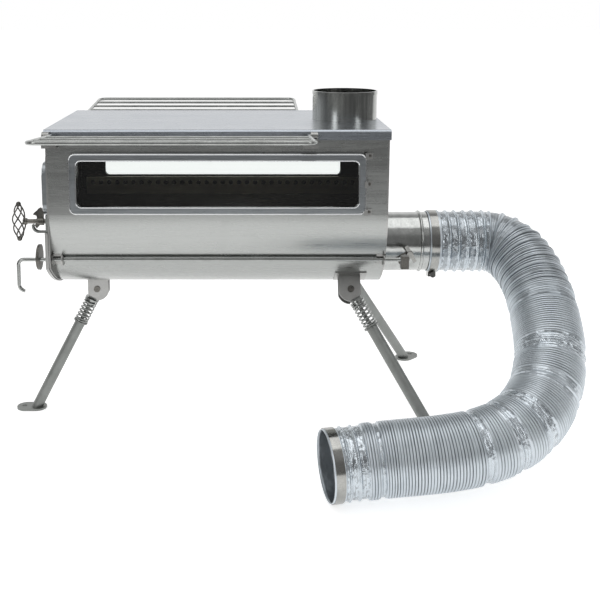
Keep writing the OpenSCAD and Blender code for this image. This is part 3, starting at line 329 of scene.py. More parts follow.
@dataclass(frozen=True)
class Foil:
    """Finish of the thin aluminium foil of the hose, darkened by painted shade in its folds and creased where it
    is loose.

    Attributes:
        light: Colour of the clean foil.
        deep: Colour of its handling marks.
        fold: Colour of the painted shade in the folds.
        roughness: Roughness of the tight foil.
        loose_share: Share of that roughness on loose foil.
        tight_crease: Strength of the creases on tight foil.
        crease: Strength of the creases on loose foil.
    """

    name: str
    light: Color
    deep: Color
    fold: Color
    roughness: float = 0.42
    loose_share: float = 0.55
    tight_crease: float = 0.05
    crease: float = 0.5
    metallic: float = 0.9

    def make(self) -> bpy.types.Material:
        """Builds the material, or finds the one that is there already.

        Returns:
            The material.
        """
        found = bpy.data.materials.get(self.name)
        if found:
            return found
        material, tree, shader = principled(self.name)
        crinkle = place_group(tree, SHARED.crinkle(), Scale=110.0, Fine=420.0)
        marks = place_group(tree, SHARED.smudges(), Scale=22.0, Cover=0.42)
        fold_shade = add_node(tree, "Attribute", attribute_name="fold_shade")
        loose = add_node(tree, "Attribute", attribute_name="loose")
        tint = add_node(tree, "Mix", {"Factor": marks.outputs["Mask"]}, data_type="RGBA",
                        in_6=(*self.light, 1.0), in_7=(*self.deep, 1.0))
        # Painted shade: the foil darkens towards the fold colour where the hose's painted fold shade lies.
        shaded_foil = add_node(tree, "Mix", {"Factor": fold_shade.outputs["Fac"], 6: tint.outputs[2]}, data_type="RGBA",
                          in_7=(*self.fold, 1.0))
        rough = add_node(tree, "MapRange", {"Value": loose.outputs["Fac"]}, in_3=self.roughness,
                         in_4=self.roughness * self.loose_share)
        depth = add_node(tree, "MapRange", {"Value": loose.outputs["Fac"]}, in_3=self.tight_crease,
                         in_4=self.crease)
        bump = add_node(tree, "Bump", {"Height": crinkle.outputs["Height"], "Strength": depth.outputs[0]},
                        in_Distance=0.002)
        tree.links.new(shaded_foil.outputs[2], shader.inputs["Base Color"])
        tree.links.new(rough.outputs[0], shader.inputs["Roughness"])
        tree.links.new(bump.outputs[0], shader.inputs["Normal"])
        shader.inputs["Metallic"].default_value = self.metallic
        return material


@dataclass(frozen=True)
class Glass:
    """Finish of the heat-proof window glass, with faint smoke marks.

    Attributes:
        tint: The glass's colour.
        haze: Roughness of a full smoke mark.
        ior: The glass's refractive index.
    """

    name: str
    tint: Color
    haze: float = 0.05
    ior: float = 1.45

    def make(self) -> bpy.types.Material:
        """Builds the material, or finds the one that is there already.

        Returns:
            The material.
        """
        found = bpy.data.materials.get(self.name)
        if found:
            return found
        material, tree, shader = principled(self.name)
        marks = place_group(tree, SHARED.smudges(), Scale=9.0, Cover=0.6)
        rough = add_node(tree, "Math", {0: marks.outputs["Mask"]}, operation="MULTIPLY", in_1=self.haze)
        tree.links.new(rough.outputs[0], shader.inputs["Roughness"])
        shader.inputs["Base Color"].default_value = (*self.tint, 1.0)
        shader.inputs["Transmission Weight"].default_value = 1.0
        shader.inputs["IOR"].default_value = self.ior
        return material


@dataclass(frozen=True)
class Fibre:
    """Finish of the woven glass-fibre seals.

    Attributes:
        light: Colour of the threads.
        deep: Colour between them.
    """

    name: str
    light: Color
    deep: Color
    roughness: float = 0.9

    def make(self) -> bpy.types.Material:
        """Builds the material, or finds the one that is there already.

        Returns:
            The material.
        """
        found = bpy.data.materials.get(self.name)
        if found:
            return found
        material, tree, shader = principled(self.name)
        crinkle = place_group(tree, SHARED.crinkle(), Scale=500.0, Fine=1400.0)
        tint = add_node(tree, "Mix", {"Factor": crinkle.outputs["Mask"]}, data_type="RGBA",
                        in_6=(*self.deep, 1.0), in_7=(*self.light, 1.0))
        bump = add_node(tree, "Bump", {"Height": crinkle.outputs["Height"]}, in_Strength=0.7, in_Distance=0.001)
        tree.links.new(tint.outputs[2], shader.inputs["Base Color"])
        tree.links.new(bump.outputs[0], shader.inputs["Normal"])
        shader.inputs["Roughness"].default_value = self.roughness
        return material


class Finishes:
    """The stove's finishes. The frame has its own bright_steel, which the beads then wear."""

    # The wall's and the end sheets' faces inside the firebox get painted shade through their inner weights.
    WALL = Metal("brushed_wall", (0.43, 0.44, 0.43), (0.38, 0.39, 0.38), 0.28, line_strength=0.06, marks=0.06,
                 inner_centre=(0.0, 0.0, 0.3135), inner_weights=(0.0, 1.0, 1.0))
    END = Metal("brushed_end", (0.46, 0.46, 0.45), (0.35, 0.35, 0.34), 0.28, grain=Grain.ALONG_Z,
                inner_weights=(1.0, 0.0, 0.0))
    FITTING = Metal("plain_fitting", (0.46, 0.46, 0.45), (0.34, 0.34, 0.33), 0.32, grain=Grain.NONE)
    PLATE = Metal("cooking_plate", (0.45, 0.48, 0.52), (0.39, 0.42, 0.46), 0.28, marks=0.05)
    FRAME = Metal("window_frame", (0.36, 0.38, 0.40), (0.27, 0.29, 0.30), 0.30)
    BRIGHT = Metal("bright_steel", (0.70, 0.71, 0.71), (0.50, 0.51, 0.51), 0.16, 0.06, grain=Grain.NONE,
                   line_strength=0.1)
    PIPE = Metal("bright_pipe", (0.58, 0.59, 0.58), (0.36, 0.37, 0.36), 0.16, 0.1, grain=Grain.ALONG_Y,
                 anisotropic=0.4)
    FLUE = Metal("bright_flue", (0.56, 0.57, 0.55), (0.30, 0.31, 0.30), 0.17, 0.12, grain=Grain.ALONG_Z,
                 lines=260.0, wave_depth=0.4)
    CLAMP = Metal("clamp_band", (0.44, 0.44, 0.42), (0.28, 0.28, 0.27), 0.14, 0.06, grain=Grain.NONE,
                  line_strength=0.1)
    WIRE = Metal("bright_wire", (0.44, 0.45, 0.44), (0.27, 0.28, 0.27), 0.20, 0.05, grain=Grain.NONE)
    LEG = Metal("blasted_leg", (0.30, 0.31, 0.30), (0.22, 0.23, 0.22), 0.42, grain=Grain.NONE, lines=1500.0,
                line_strength=0.5, metallic=0.9)
    DARK = Metal("dark_cast", (0.24, 0.23, 0.21), (0.07, 0.07, 0.065), 0.33, 0.2, grain=Grain.NONE)
    INSIDE = Metal("inner_sheet", (0.10, 0.095, 0.08), (0.05, 0.048, 0.04), 0.5, 0.2)
    CHANNEL = Metal("inner_channel", (0.40, 0.37, 0.29), (0.25, 0.23, 0.18), 0.40, 0.15)
    GLASS = Glass("window_pane", (0.96, 0.98, 0.97))
    SEAL = Fibre("seal_tape", (0.12, 0.12, 0.12), (0.03, 0.03, 0.03))
    FOIL = Foil("hose_foil", (0.62, 0.67, 0.71), (0.44, 0.49, 0.53), (0.06, 0.065, 0.07))


@dataclass(frozen=True)
class Studio:
    """Camera, floor, lamps and backdrop light.

    Attributes:
        lens: The camera's focal length and sensor width, in millimetres.
        lens_shift: Its shift to the side and upwards.
        clip: The nearest and the farthest distance that it sees.
        place: Where it stands, with X from the middle of the firebox.
        pitch: How far it looks down, in degrees.
        floor_half: Half of the floor's width.
        paper: The floor's colour.
        side_share: How much the distance to the side counts in its fading.
        side_free: How much of that distance is left out.
        fade: Distances in front at which it starts to fade and has faded.
        faded: Share of its paleness that is left.
        glow: Strength at which it shows to the camera, through glass and in metal.
        front_edge: Where the dim front ends and the pale back begins, along Y.
        front_level: Brightness of the front.
        ceiling_edge: Where the ceiling begins, along Z.
        ceiling_level: Brightness of the ceiling.
        lamps: Each lamp's name, place, aim, width and height, and power.
    """

    lens: tuple[float, float] = (59.57, 36.0)
    lens_shift: tuple[float, float] = (0.085, -0.2)
    clip: tuple[float, float] = (0.05, 80.0)
    place: Point = (0.0401, -1.3782, 0.5714)
    pitch: float = 9.62
    floor_half: float = 30.0
    paper: Color = (0.86, 0.86, 0.86)
    side_share: float = 0.9
    side_free: float = 0.4
    fade: tuple[float, float] = (0.8, 1.6)
    faded: float = 0.13
    glow: float = 0.60
    front_edge: tuple[float, float] = (-0.3, 0.55)
    front_level: float = 0.22
    ceiling_edge: tuple[float, float] = (0.45, 0.8)
    ceiling_level: float = 0.45
    lamps: tuple[tuple[str, Point, Point, tuple[float, float], float], ...] = (
        ("overhead", (0.1, -0.2, 2.2), (0.0, 0.0, 0.3), (2.4, 1.6), 15.0),
        ("front_left", (-1.4, -1.9, 1.2), (0.0, 0.0, 0.25), (0.7, 1.6), 9.0),
        ("front_right", (1.7, -1.7, 1.3), (0.1, 0.0, 0.25), (0.7, 1.6), 7.0))

    def camera(self, shift: float) -> None:
        """Places the camera where the photograph was taken from.

        Args:
            shift: Distance along X from the firebox's middle to the frame's origin.
        """
        data = bpy.data.cameras.new("view")
        data.lens, data.sensor_width = self.lens
        data.shift_x, data.shift_y = self.lens_shift
        data.clip_start, data.clip_end = self.clip
        view = bpy.data.objects.new("view", data)
        view.location = (self.place[0] + shift, self.place[1], self.place[2])
        view.rotation_euler = (math.radians(90 - self.pitch), 0.0, 0.0)
        bpy.context.collection.objects.link(view)
        bpy.context.scene.camera = view

    def floor(self) -> None:
        """Lays a pale floor that keeps a soft shadow and fades towards the dim front of the studio."""
        mesh = bpy.data.meshes.new("floor")
        size = self.floor_half
        mesh.from_pydata([(-size, -size, 0), (size, -size, 0), (size, size, 0), (-size, size, 0)], [],
                         [(0, 1, 2, 3)])
        plane = bpy.data.objects.new("floor", mesh)
        bpy.context.collection.objects.link(plane)
        material, tree, shader = principled("floor_paper")
        place = add_node(tree, "TexCoord")
        parts = add_node(tree, "SeparateXYZ", {0: place.outputs["Object"]})
        wide = add_node(tree, "Math", {0: parts.outputs["X"]}, operation="ABSOLUTE")
        out = add_node(tree, "Math", {0: wide.outputs[0]}, operation="MULTIPLY_ADD", in_1=self.side_share,
                       in_2=-self.side_free)
        front = add_node(tree, "Math", {0: out.outputs[0], 1: parts.outputs["Y"]}, operation="SUBTRACT")
        pale = add_node(tree, "MapRange", {"Value": front.outputs[0]}, interpolation_type="SMOOTHSTEP",
                        in_1=self.fade[0], in_2=self.fade[1], in_3=1.0, in_4=self.faded)
        grey = add_node(tree, "CombineColor", {0: pale.outputs[0], 1: pale.outputs[0], 2: pale.outputs[0]})
        color = add_node(tree, "Mix", {6: grey.outputs[0]}, data_type="RGBA", blend_type="MULTIPLY",
                         in_7=(*self.paper, 1.0), in_0=1.0)
        rays = add_node(tree, "LightPath")
        straight = add_node(tree, "Math", {0: rays.outputs["Is Camera Ray"],
                                           1: rays.outputs["Is Transmission Ray"]}, operation="ADD")
        seen = add_node(tree, "Math", {0: straight.outputs[0], 1: rays.outputs["Is Glossy Ray"]},
                        operation="ADD", use_clamp=True)
        strength = add_node(tree, "Math", {0: seen.outputs[0], 1: pale.outputs[0]}, operation="MULTIPLY")
        lit = add_node(tree, "Math", {0: strength.outputs[0]}, operation="MULTIPLY", in_1=self.glow)
        tree.links.new(color.outputs[2], shader.inputs["Base Color"])
        tree.links.new(lit.outputs[0], shader.inputs["Emission Strength"])
        shader.inputs["Emission Color"].default_value = (1.0, 1.0, 1.0, 1.0)
        shader.inputs["Roughness"].default_value = 1.0
        shader.inputs["Specular IOR Level"].default_value = 0.0
        mesh.materials.append(material)

    def backdrop(self) -> None:
        """Gives the world a pale backdrop behind the stove, a dim front and a grey ceiling."""
        world = bpy.data.worlds.new("backdrop")
        bpy.context.scene.world = world
        world.use_nodes = True
        tree = world.node_tree
        tree.nodes.clear()
        out = add_node(tree, "OutputWorld")
        place = add_node(tree, "TexCoord")
        parts = add_node(tree, "SeparateXYZ", {0: place.outputs["Generated"]})
        back = add_node(tree, "MapRange", {"Value": parts.outputs["Y"]}, interpolation_type="SMOOTHSTEP",
                        in_1=self.front_edge[0], in_2=self.front_edge[1], in_3=self.front_level, in_4=1.0)
        ceiling = add_node(tree, "MapRange", {"Value": parts.outputs["Z"]}, interpolation_type="SMOOTHSTEP",
                           in_1=self.ceiling_edge[0], in_2=self.ceiling_edge[1], in_3=0.0, in_4=1.0)
        level = add_node(tree, "Mix", {0: ceiling.outputs[0], 2: back.outputs[0]}, data_type="FLOAT",
                         in_3=self.ceiling_level)
        air = add_node(tree, "Background", {0: level.outputs[0]}, in_1=1.0)
        tree.links.new(air.outputs[0], out.inputs[0])

    def lamp(self, name: str, at: Point, aim: Point, size: tuple[float, float], watts: float) -> None:
        """Hangs one soft rectangular lamp.

        Args:
            name: The lamp's name.
            at: Where it hangs.
            aim: The point that it faces.
            size: Its width and height.
            watts: Its power.
        """
        data = bpy.data.lights.new(name, "AREA")
        data.shape, data.size, data.size_y, data.energy = "RECTANGLE", size[0], size[1], watts
        lamp = bpy.data.objects.new(name, data)
        lamp.location = at
        lamp.rotation_euler = (Vector(aim) - Vector(at)).to_track_quat("-Z", "Y").to_euler()
        bpy.context.collection.objects.link(lamp)

    def build(self, shift: float) -> None:
        """Builds the whole studio.

        Args:
            shift: Distance along X from the firebox's middle to the frame's origin.
        """
        self.camera(shift)
        self.floor()
        self.backdrop()
        bpy.context.scene.view_settings.view_transform = "Standard"
        for lamp in self.lamps:
            self.lamp(*lamp)


def catmull(a: Vector, b: Vector, c: Vector, d: Vector, t: float) -> Vector:
    """A point on the smooth curve from b to c, at a share t of the way."""
    return 0.5 * (2 * b + (c - a) * t + (2 * a - 5 * b + 4 * c - d) * t * t
                  + (3 * b - a - 3 * c + d) * t * t * t)


class Route:
    """A smooth line through points, read by its length."""

    def __init__(self, points: list[Vector], steps: int = 8) -> None:
        """Smooths the points.

        Args:
            points: The points that the line goes through.
            steps: Steps between two points.
        """
        last = len(points) - 1
        self.line = [catmull(points[max(i - 1, 0)], points[i], points[i + 1], points[min(i + 2, last)], k / steps)
                     for i in range(last) for k in range(steps)] + [points[last]]
        self.runs = [0.0]
        for a, b in zip(self.line, self.line[1:]):
            self.runs.append(self.runs[-1] + (b - a).length)
        self.length = self.runs[-1]

    def at(self, s: float) -> Vector:
        """Finds a point on the line.

        Args:
            s: Its distance along the line.

        Returns:
            The point.
        """
        s = min(max(s, 0.0), self.length)
        for i in range(len(self.runs) - 1):
            if s <= self.runs[i + 1]:
                share = (s - self.runs[i]) / (self.runs[i + 1] - self.runs[i])
                return self.line[i].lerp(self.line[i + 1], share)
        return self.line[-1].copy()

    def way(self, s: float, step: float = 0.006) -> Vector:
        """The direction at a distance s along the line."""
        return (self.at(min(s + step, self.length)) - self.at(max(s - step, 0.0))).normalized()


def mesh_piece(name: str, points: list, faces: list, material: bpy.types.Material,
               body: str) -> bpy.types.Object:
    """Makes a smooth mesh object that rides on a body.

    Args:
        name: The piece's name.
        points: Its corner points.
        faces: Its faces.
        material: Its material.
        body: The body that it rides on.

    Returns:
        The new object.
    """
    mesh = bpy.data.meshes.new(name)
    mesh.from_pydata([tuple(p) for p in points], [], faces)
    mesh.validate()
    mesh.update()
    mesh.shade_smooth()
    mesh.materials.append(material)
    piece = bpy.data.objects.new(name, mesh)
    bpy.context.collection.objects.link(piece)
    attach(piece, body)
    return piece


def tube_mesh(centres: list[Vector], radius: float, closed: bool, sides: int = 10) -> tuple[list, list]:
    """Points and faces of a round tube along a line.

    Args:
        centres: The points that the line goes through.
        radius: The tube's radius.
        closed: Whether the line joins its own start.
        sides: Sides of the tube.

    Returns:
        The points and the faces.
    """
    points, faces, count = [], [], len(centres)
    across = None
    for i, centre in enumerate(centres):
        after = centres[(i + 1) % count] if closed or i < count - 1 else centre
        before = centres[i - 1] if closed or i else centre
        way = (after - before).normalized()
        if across is None:
            across = way.orthogonal().normalized()
        across = (across - across.dot(way) * way).normalized()
        up = way.cross(across)
        points += [centre + radius * (math.cos(2 * math.pi * j / sides) * across
                                      + math.sin(2 * math.pi * j / sides) * up) for j in range(sides)]
    for i in range(count if closed else count - 1):
        k = (i + 1) % count
        faces += [(i * sides + j, i * sides + (j + 1) % sides, k * sides + (j + 1) % sides, k * sides + j)
                  for j in range(sides)]
    if not closed:
        faces.append(tuple(range(sides - 1, -1, -1)))
        faces.append(tuple((count - 1) * sides + j for j in range(sides)))
    return points, faces


def round_loop(half_l: float, half_h: float, corner: float, place: Matrix, steps: int = 8) -> list[Vector]:
    """A rectangle with round corners, as points in a plane.

    Args:
        half_l: Half of its length.
        half_h: Half of its height.
        corner: Its corner radius.
        place: Takes the drawing's plane to where the loop lies.
        steps: Steps round a corner.

    Returns:
        The points of the loop.
    """
    points = []
    for quarter, (sx, sy) in enumerate(((1, 1), (-1, 1), (-1, -1), (1, -1))):
        for step in range(steps + 1):
            a = math.radians(90 * quarter + 90 * step / steps)
            points.append(place @ Vector((sx * (half_l - corner) + corner * math.cos(a),
                                          sy * (half_h - corner) + corner * math.sin(a), 0.0)))
    return points


@dataclass(frozen=True)
class FrameBeads:
    """The two beads rolled round a pressed window frame.

    Attributes:
        corner: Corner radius of the frame's edge.
        rim: The frame's width.
        inner_corner: Corner radius of its opening.
        edge_r: Radius of the bead at its edge.
        lip_r: Radius of the bead at its opening.
    """

    corner: float
    rim: float
    inner_corner: float
    edge_r: float = 0.0009
    lip_r: float = 0.0009

    def roll(self, names: tuple[str, str], half_l: float, half_h: float, place: Matrix, body: str) -> None:
        """Rolls both beads.

        Args:
            names: Names of the bead at the edge and of the one at the opening.
            half_l: Half of the frame's length.
            half_h: Half of its height.
            place: Takes the drawing's plane to the frame's face.
            body: The body that the frame rides on.
        """
        outer, inner = self.edge_r, self.lip_r
        loops = (round_loop(half_l - outer, half_h - outer, self.corner - outer, place),
                 round_loop(half_l - self.rim + inner, half_h - self.rim + inner, self.inner_corner + inner,
                            place))
        for name, loop, radius in zip(names, loops, (outer, inner)):
            points, faces = tube_mesh(loop, radius, True)
            mesh_piece(name, points, faces, Finishes.BRIGHT.make(), body)


@dataclass(frozen=True)
class ScrewHead:
    """A dark domed screw head with a cross recess.

    Attributes:
        radius: The head's radius.
        sides: Corners round the head, a multiple of four.
        dome: Rings of the dome, as shares of the radius outwards and upwards.
        arm: Share of the radius that the recess reaches in its four arms.
        between: Share of the radius that it reaches between them.
        floor: Share of the radius at which it ends.
    """

    radius: float
    sides: int = 16
    dome: tuple[tuple[float, float], ...] = ((1.0, 0.0), (1.0, 0.22), (0.86, 0.42), (0.62, 0.54), (0.34, 0.60))
    arm: float = 0.30
    between: float = 0.13
    floor: float = 0.30

    def set_in(self, name: str, at: Vector, out: Vector, body: str) -> None:
        """Sets the screw in its place.

        Args:
            name: The piece's name.
            at: The middle of the head's seat.
            out: The direction that the head faces.
            body: The body that it rides on.
        """
        shape = bmesh.new()
        levels = [([share] * self.sides, rise) for share, rise in self.dome]
        levels.append(([self.between if k % 4 else self.arm for k in range(self.sides)], self.floor))
        rings = [[shape.verts.new((self.radius * share * math.cos(2 * math.pi * k / self.sides),
                                   self.radius * share * math.sin(2 * math.pi * k / self.sides),
                                   self.radius * rise)) for k, share in enumerate(shares)]
                 for shares, rise in levels]
        for a, b in zip(rings, rings[1:]):
            for k in range(self.sides):
                after = (k + 1) % self.sides
                shape.faces.new((a[k], a[after], b[after], b[k]))
        shape.faces.new(rings[-1])
        shape.faces.new(list(reversed(rings[0])))
        mesh = bpy.data.meshes.new(name)
        shape.to_mesh(mesh)
        shape.free()
        mesh.transform(Matrix.Translation(at) @ out.to_track_quat("Z", "Y").to_matrix().to_4x4())
        mesh.materials.append(Finishes.DARK.make())
        piece = bpy.data.objects.new(name, mesh)
        bpy.context.collection.objects.link(piece)
        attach(piece, body)


def dress(finish: Metal | Foil | Glass | Fibre, *nodes: str) -> None:
    """Gives CAD nodes their material.

    Args:
        finish: The finish that they get.
        nodes: The nodes' names.
    """
    for node in nodes:
        piece = frame["nodes"][node]
        piece.data.materials.clear()
        piece.data.materials.append(finish.make())
        log.info("%s: %s", node, finish.name)


@dataclass(frozen=True)
class Band:
    """A stretch of the hose where the foil is drawn out or crushed.

    Attributes:
        start: Where it starts along the hose.
        end: Where it ends.
        depth: Depth of its pleats.
        crush: How much its foil is creased, from 0 to 1.
    """

    start: float
    end: float
    depth: float
    crush: float

    def share(self, s: float, edge: float = 0.004) -> float:
        """How far a point along the hose is inside this stretch, from 0 to 1."""
        return min(1.0, max(0.0, min(s - self.start, self.end - s) / edge + 0.5))


@dataclass
class AirHose:
    """The foil air hose, its ribs and its two worm-drive clamps.

    Attributes:
        route: Points of its middle line, with X from the middle of the firebox.
        pipe_end: X of the inlet pipe's end in the same measure.
        radius: Radius over the ribs.
        cuff: Radius under the clamps.
        bore: Radius of the opening.
        rib: Distance between two ribs.
        rib_fold: Width of the fold between them, as a share of a rib.
        fan_end: Where the ribs that fan out at the top bend end.
        fan_fold: Width of a fold among them.
        pleat: Distance between two ridges in a band.
        ridge: Width of a ridge, as a share of a pleat.
        valley_shade: Place and width of the painted shade line beside it.
        crumple: Depth, fineness along and fineness round of the coarse dents in crushed foil.
        crease: The same three of its fine dents.
        inner_shade: How dark the hose is inside, from 0 to 1.
        side: Direction from which the corners round the hose are counted.
        cuts: Places of the rings of corners, as shares of a rib.
        length: The hose's length, once it is built.
    """

    route: tuple[Point, ...] = (
        (0.291, 0, 0.250), (0.306, 0, 0.250), (0.324, 0, 0.250), (0.346, 0, 0.250), (0.368, 0, 0.250),
        (0.390, -0.004, 0.248), (0.410, -0.020, 0.239), (0.424, -0.048, 0.221), (0.431, -0.082, 0.196),
        (0.431, -0.118, 0.170), (0.427, -0.154, 0.144), (0.417, -0.186, 0.118), (0.400, -0.214, 0.096),
        (0.376, -0.238, 0.080), (0.346, -0.257, 0.069), (0.312, -0.269, 0.062), (0.276, -0.276, 0.058),
        (0.240, -0.279, 0.055), (0.204, -0.280, 0.052), (0.170, -0.282, 0.049), (0.148, -0.284, 0.047),
        (0.130, -0.287, 0.046))
    pipe_end: float = 0.301
    radius: float = 0.0445
    cuff: float = 0.0427
    bore: float = 0.0417
    cuff_length: float = 0.015
    rib: float = 0.0034
    rib_depth: float = 0.0012
    rib_fold: float = 0.13
    fan_end: float = 0.215
    fan_fold: float = 0.18
    pleat: float = 0.0125
    ridge: float = 0.13
    valley_shade: tuple[float, float] = (0.24, 0.09)
    crumple: Point = (0.0011, 160, 5.0)
    crease: Point = (0.0006, 420, 14.0)
    inner_shade: float = 0.4
    side: Point = (0, 0.57, -0.82)
    sides: int = 112
    cuts: tuple[float, ...] = (0.0, 0.09, 0.25, 0.5, 0.75, 0.91)
    bands: tuple[Band, ...] = (
        Band(0.015, 0.086, 0.0026, 1.0), Band(0.086, 0.122, 0.0030, 0.7), Band(0.122, 0.212, 0.0024, 0.12),
        Band(0.222, 0.240, 0.0020, 0.45), Band(0.296, 0.322, 0.0016, 0.8), Band(0.352, 0.372, 0.0018, 0.7),
        Band(0.408, 0.426, 0.0022, 0.9), Band(0.446, 0.462, 0.0020, 0.8), Band(0.486, 0.498, 0.0022, 0.9),
        Band(0.606, 0.614, 0.0020, 0.8), Band(0.626, 0.658, 0.0024, 1.0))
    length: float = 0.0

    def fold_at(self, s: float) -> tuple[float, float]:
        """The fold between two tight ribs; each one has its own depth and its own painted shade.

        Args:
            s: Distance along the hose.

        Returns:
            How deep the foil lies there and how dark its painted fold shade is, from 0 to 1.
        """
        number, phase = divmod(s / self.rib, 1.0)
        away = min(phase, 1.0 - phase)
        own = 0.5 + 0.5 * noise.noise(Vector((number * 0.91, 3.0, 0.0)))
        width = self.rib_fold
        if s < self.fan_end:
            own, width = 0.65 + 0.35 * own, self.fan_fold
        fold = math.exp(-(away / width) ** 2)
        return self.rib_depth * (0.6 + 1.0 * own) * fold, fold * min(1.0, 0.35 + 3.6 * own ** 3)

    def dent(self, kind: Point, s: float, turn: float) -> float:
        """How strongly one kind of dent shows at a place on crushed foil, from 0 to 1."""
        return abs(noise.noise(Vector((s * kind[1], math.cos(turn) * kind[2], math.sin(turn) * kind[2]))))

    def foil_at(self, s: float, turn: float) -> tuple[float, float, float]:
        """The foil's form at a place on the hose.

        Args:
            s: Distance along the hose.
            turn: Angle round the hose.

        Returns:
            The outer radius, how dark the painted fold shade is there and how creased the foil is, both from 0 to
            1.
        """
        if min(s, self.length - s) < self.cuff_length:
            return self.cuff, 0.0, 0.2
        ribbed, dark = self.fold_at(s)
        loose = deep = 0.0
        for band in self.bands:
            share = band.share(s)
            if share <= 0.0:
                continue
            along = (s - band.start) / self.pleat
            near = abs(along - round(along))
            ridge = math.exp(-(near / self.ridge) ** 2)
            valley_shade = math.exp(-((near - self.valley_shade[0]) / self.valley_shade[1]) ** 2)
            coarse, fine = self.dent(self.crumple, s, turn), self.dent(self.crease, s, turn)
            dented = self.crumple[0] * coarse + self.crease[0] * fine
            deep = max(deep, share * (band.depth * (1 - ridge) + band.crush * dented))
            loose = max(loose, share * band.crush)
            # Painted shade: in a crushed band the fold shade gives way to dark lines in the valleys beside the
            # ridges.
            dark = dark * (1 - share * band.crush) + share * (0.04 + 0.40 * valley_shade * coarse)
        return self.radius - ribbed * (1 - 0.8 * loose) - deep, dark, loose

    def build(self, shift: float) -> None:
        """Builds the hose in place of its CAD solid.

        Args:
            shift: Distance along X from the firebox's middle to the frame's origin.
        """
        route = Route([Vector((x + shift, y, z)) for x, y, z in self.route])
        self.length = route.length
        side = Vector(self.side)
        ribs = int(route.length / self.rib)
        stations = [(rib + cut) * self.rib for rib in range(ribs) for cut in self.cuts] + [route.length]
        points, folds, creases = [], [], []
        for inner in (False, True):
            for s in reversed(stations) if inner else stations:
                way, centre = route.way(s), route.at(s)
                across = way.cross(side).normalized()
                up = way.cross(across)
                for j in range(self.sides):
                    turn = 2 * math.pi * j / self.sides
                    r, fold, crease = self.foil_at(s, turn)
                    if inner:
                        r = self.bore - self.rib_depth * fold
                        # Painted shade inside the hose: never lighter than inner_shade.
                        fold = self.inner_shade + (1 - self.inner_shade) * fold
                    points.append(centre + r * (math.cos(turn) * across + math.sin(turn) * up))
                    folds.append(fold)
                    creases.append(crease)
        total, n = 2 * len(stations), self.sides
        faces = [(i * n + j, i * n + (j + 1) % n, (i + 1) % total * n + (j + 1) % n, (i + 1) % total * n + j)
                 for i in range(total) for j in range(n)]
        hose = mesh_piece("air_hose", points, faces, Finishes.FOIL.make(), "stove")
        # The painted fold shade and the looseness go to the foil as point attributes.
        for label, values in (("fold_shade", folds), ("loose", creases)):
            hose.data.attributes.new(label, "FLOAT", "POINT").data.foreach_set("value", values)
        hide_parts("hose")
        dress(Finishes.CLAMP, "hose_clamp_upper", "hose_clamp_lower")
        log.info("hose: %.3f m", route.length)


@dataclass
class Firebox:
    """The stove's sheet-metal body with its windows and what shows inside.

    Attributes:
        ends: The end sheets.
        inside: The sheets inside.
        clip_inset: Distance of the screws from the clips' outer edge.
        clip_t: Thickness of a clip.
        clip_shares: Heights of the screws, as shares of the frame's height from its middle.
    """

    ends: tuple[str, ...] = ("end_frame", "front_panel", "back_plate")
    fittings: tuple[str, ...] = ("leg_bracket_left", "leg_bracket_front", "leg_bracket_rear", "rod_bracket_left",
                                 "rod_bracket_right", "window_clips", "rack_hinges_front", "rack_hinges_rear",
                                 "door_hinge_leaf")
    inside: tuple[str, ...] = ("fire_grate", "baffle_plate")
    beads: FrameBeads = FrameBeads(corner=0.009, rim=0.010, inner_corner=0.006, lip_r=0.0008)
    clip_screw: ScrewHead = ScrewHead(0.0021)
    clip_inset: float = 0.0035
    clip_t: float = 0.0015
    clip_shares: tuple[float, ...] = (-0.46, 0.0, 0.46)

    def window(self, side: str) -> None:
        """Dresses a side window and rolls the beads of its frame.

        Args:
            side: The side of the stove, front or rear.
        """
        dress(Finishes.FRAME, f"window_frame_{side}")
        dress(Finishes.GLASS, f"window_glass_{side}")
        low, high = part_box(f"window_frame_{side}")
        face = low[1] if side == "front" else high[1]
        place = Matrix.Translation(((low[0] + high[0]) / 2, face, (low[2] + high[2]) / 2)) \
            @ Matrix.Rotation(math.radians(90), 4, "X")
        self.beads.roll((f"frame_bead_{side}", f"frame_lip_{side}"), (high[0] - low[0]) / 2,
                        (high[2] - low[2]) / 2, place, "stove")

    def screws(self) -> None:
        """Sets the screws of the window clips."""
        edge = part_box("window_clips")[1][0] - self.clip_inset
        for side, out in (("front", Vector((0, -1, 0))), ("rear", Vector((0, 1, 0)))):
            low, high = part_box(f"window_frame_{side}")
            wall = high[1] if side == "front" else low[1]
            middle, height = (low[2] + high[2]) / 2, high[2] - low[2]
            for i, share in enumerate(self.clip_shares):
                at = Vector((edge, wall + out.y * self.clip_t, middle + share * height))
                self.clip_screw.set_in(f"clip_screw_{side}_{i}", at, out, "stove")

    def build(self) -> None:
        """Dresses the body's nodes, rolls the beads and sets the screws."""
        dress(Finishes.WALL, "barrel")
        dress(Finishes.END, *self.ends)
        dress(Finishes.FITTING, *self.fittings)
        for side in ("front", "rear"):
            self.window(side)
        dress(Finishes.INSIDE, *self.inside)
        dress(Finishes.CHANNEL, "air_channel_front", "air_channel_rear")
        self.screws()
        dress(Finishes.PLATE, "top_plate")
        dress(Finishes.FLUE, "flue_collar")
        dress(Finishes.PIPE, "air_pipe")
        dress(Finishes.SEAL, "window_seals")
        dress(Finishes.LEG, "latch_keeper")
        dress(Finishes.WIRE, "door_hinge_pin")
        dress(Finishes.DARK, "leg_pivot_pins")


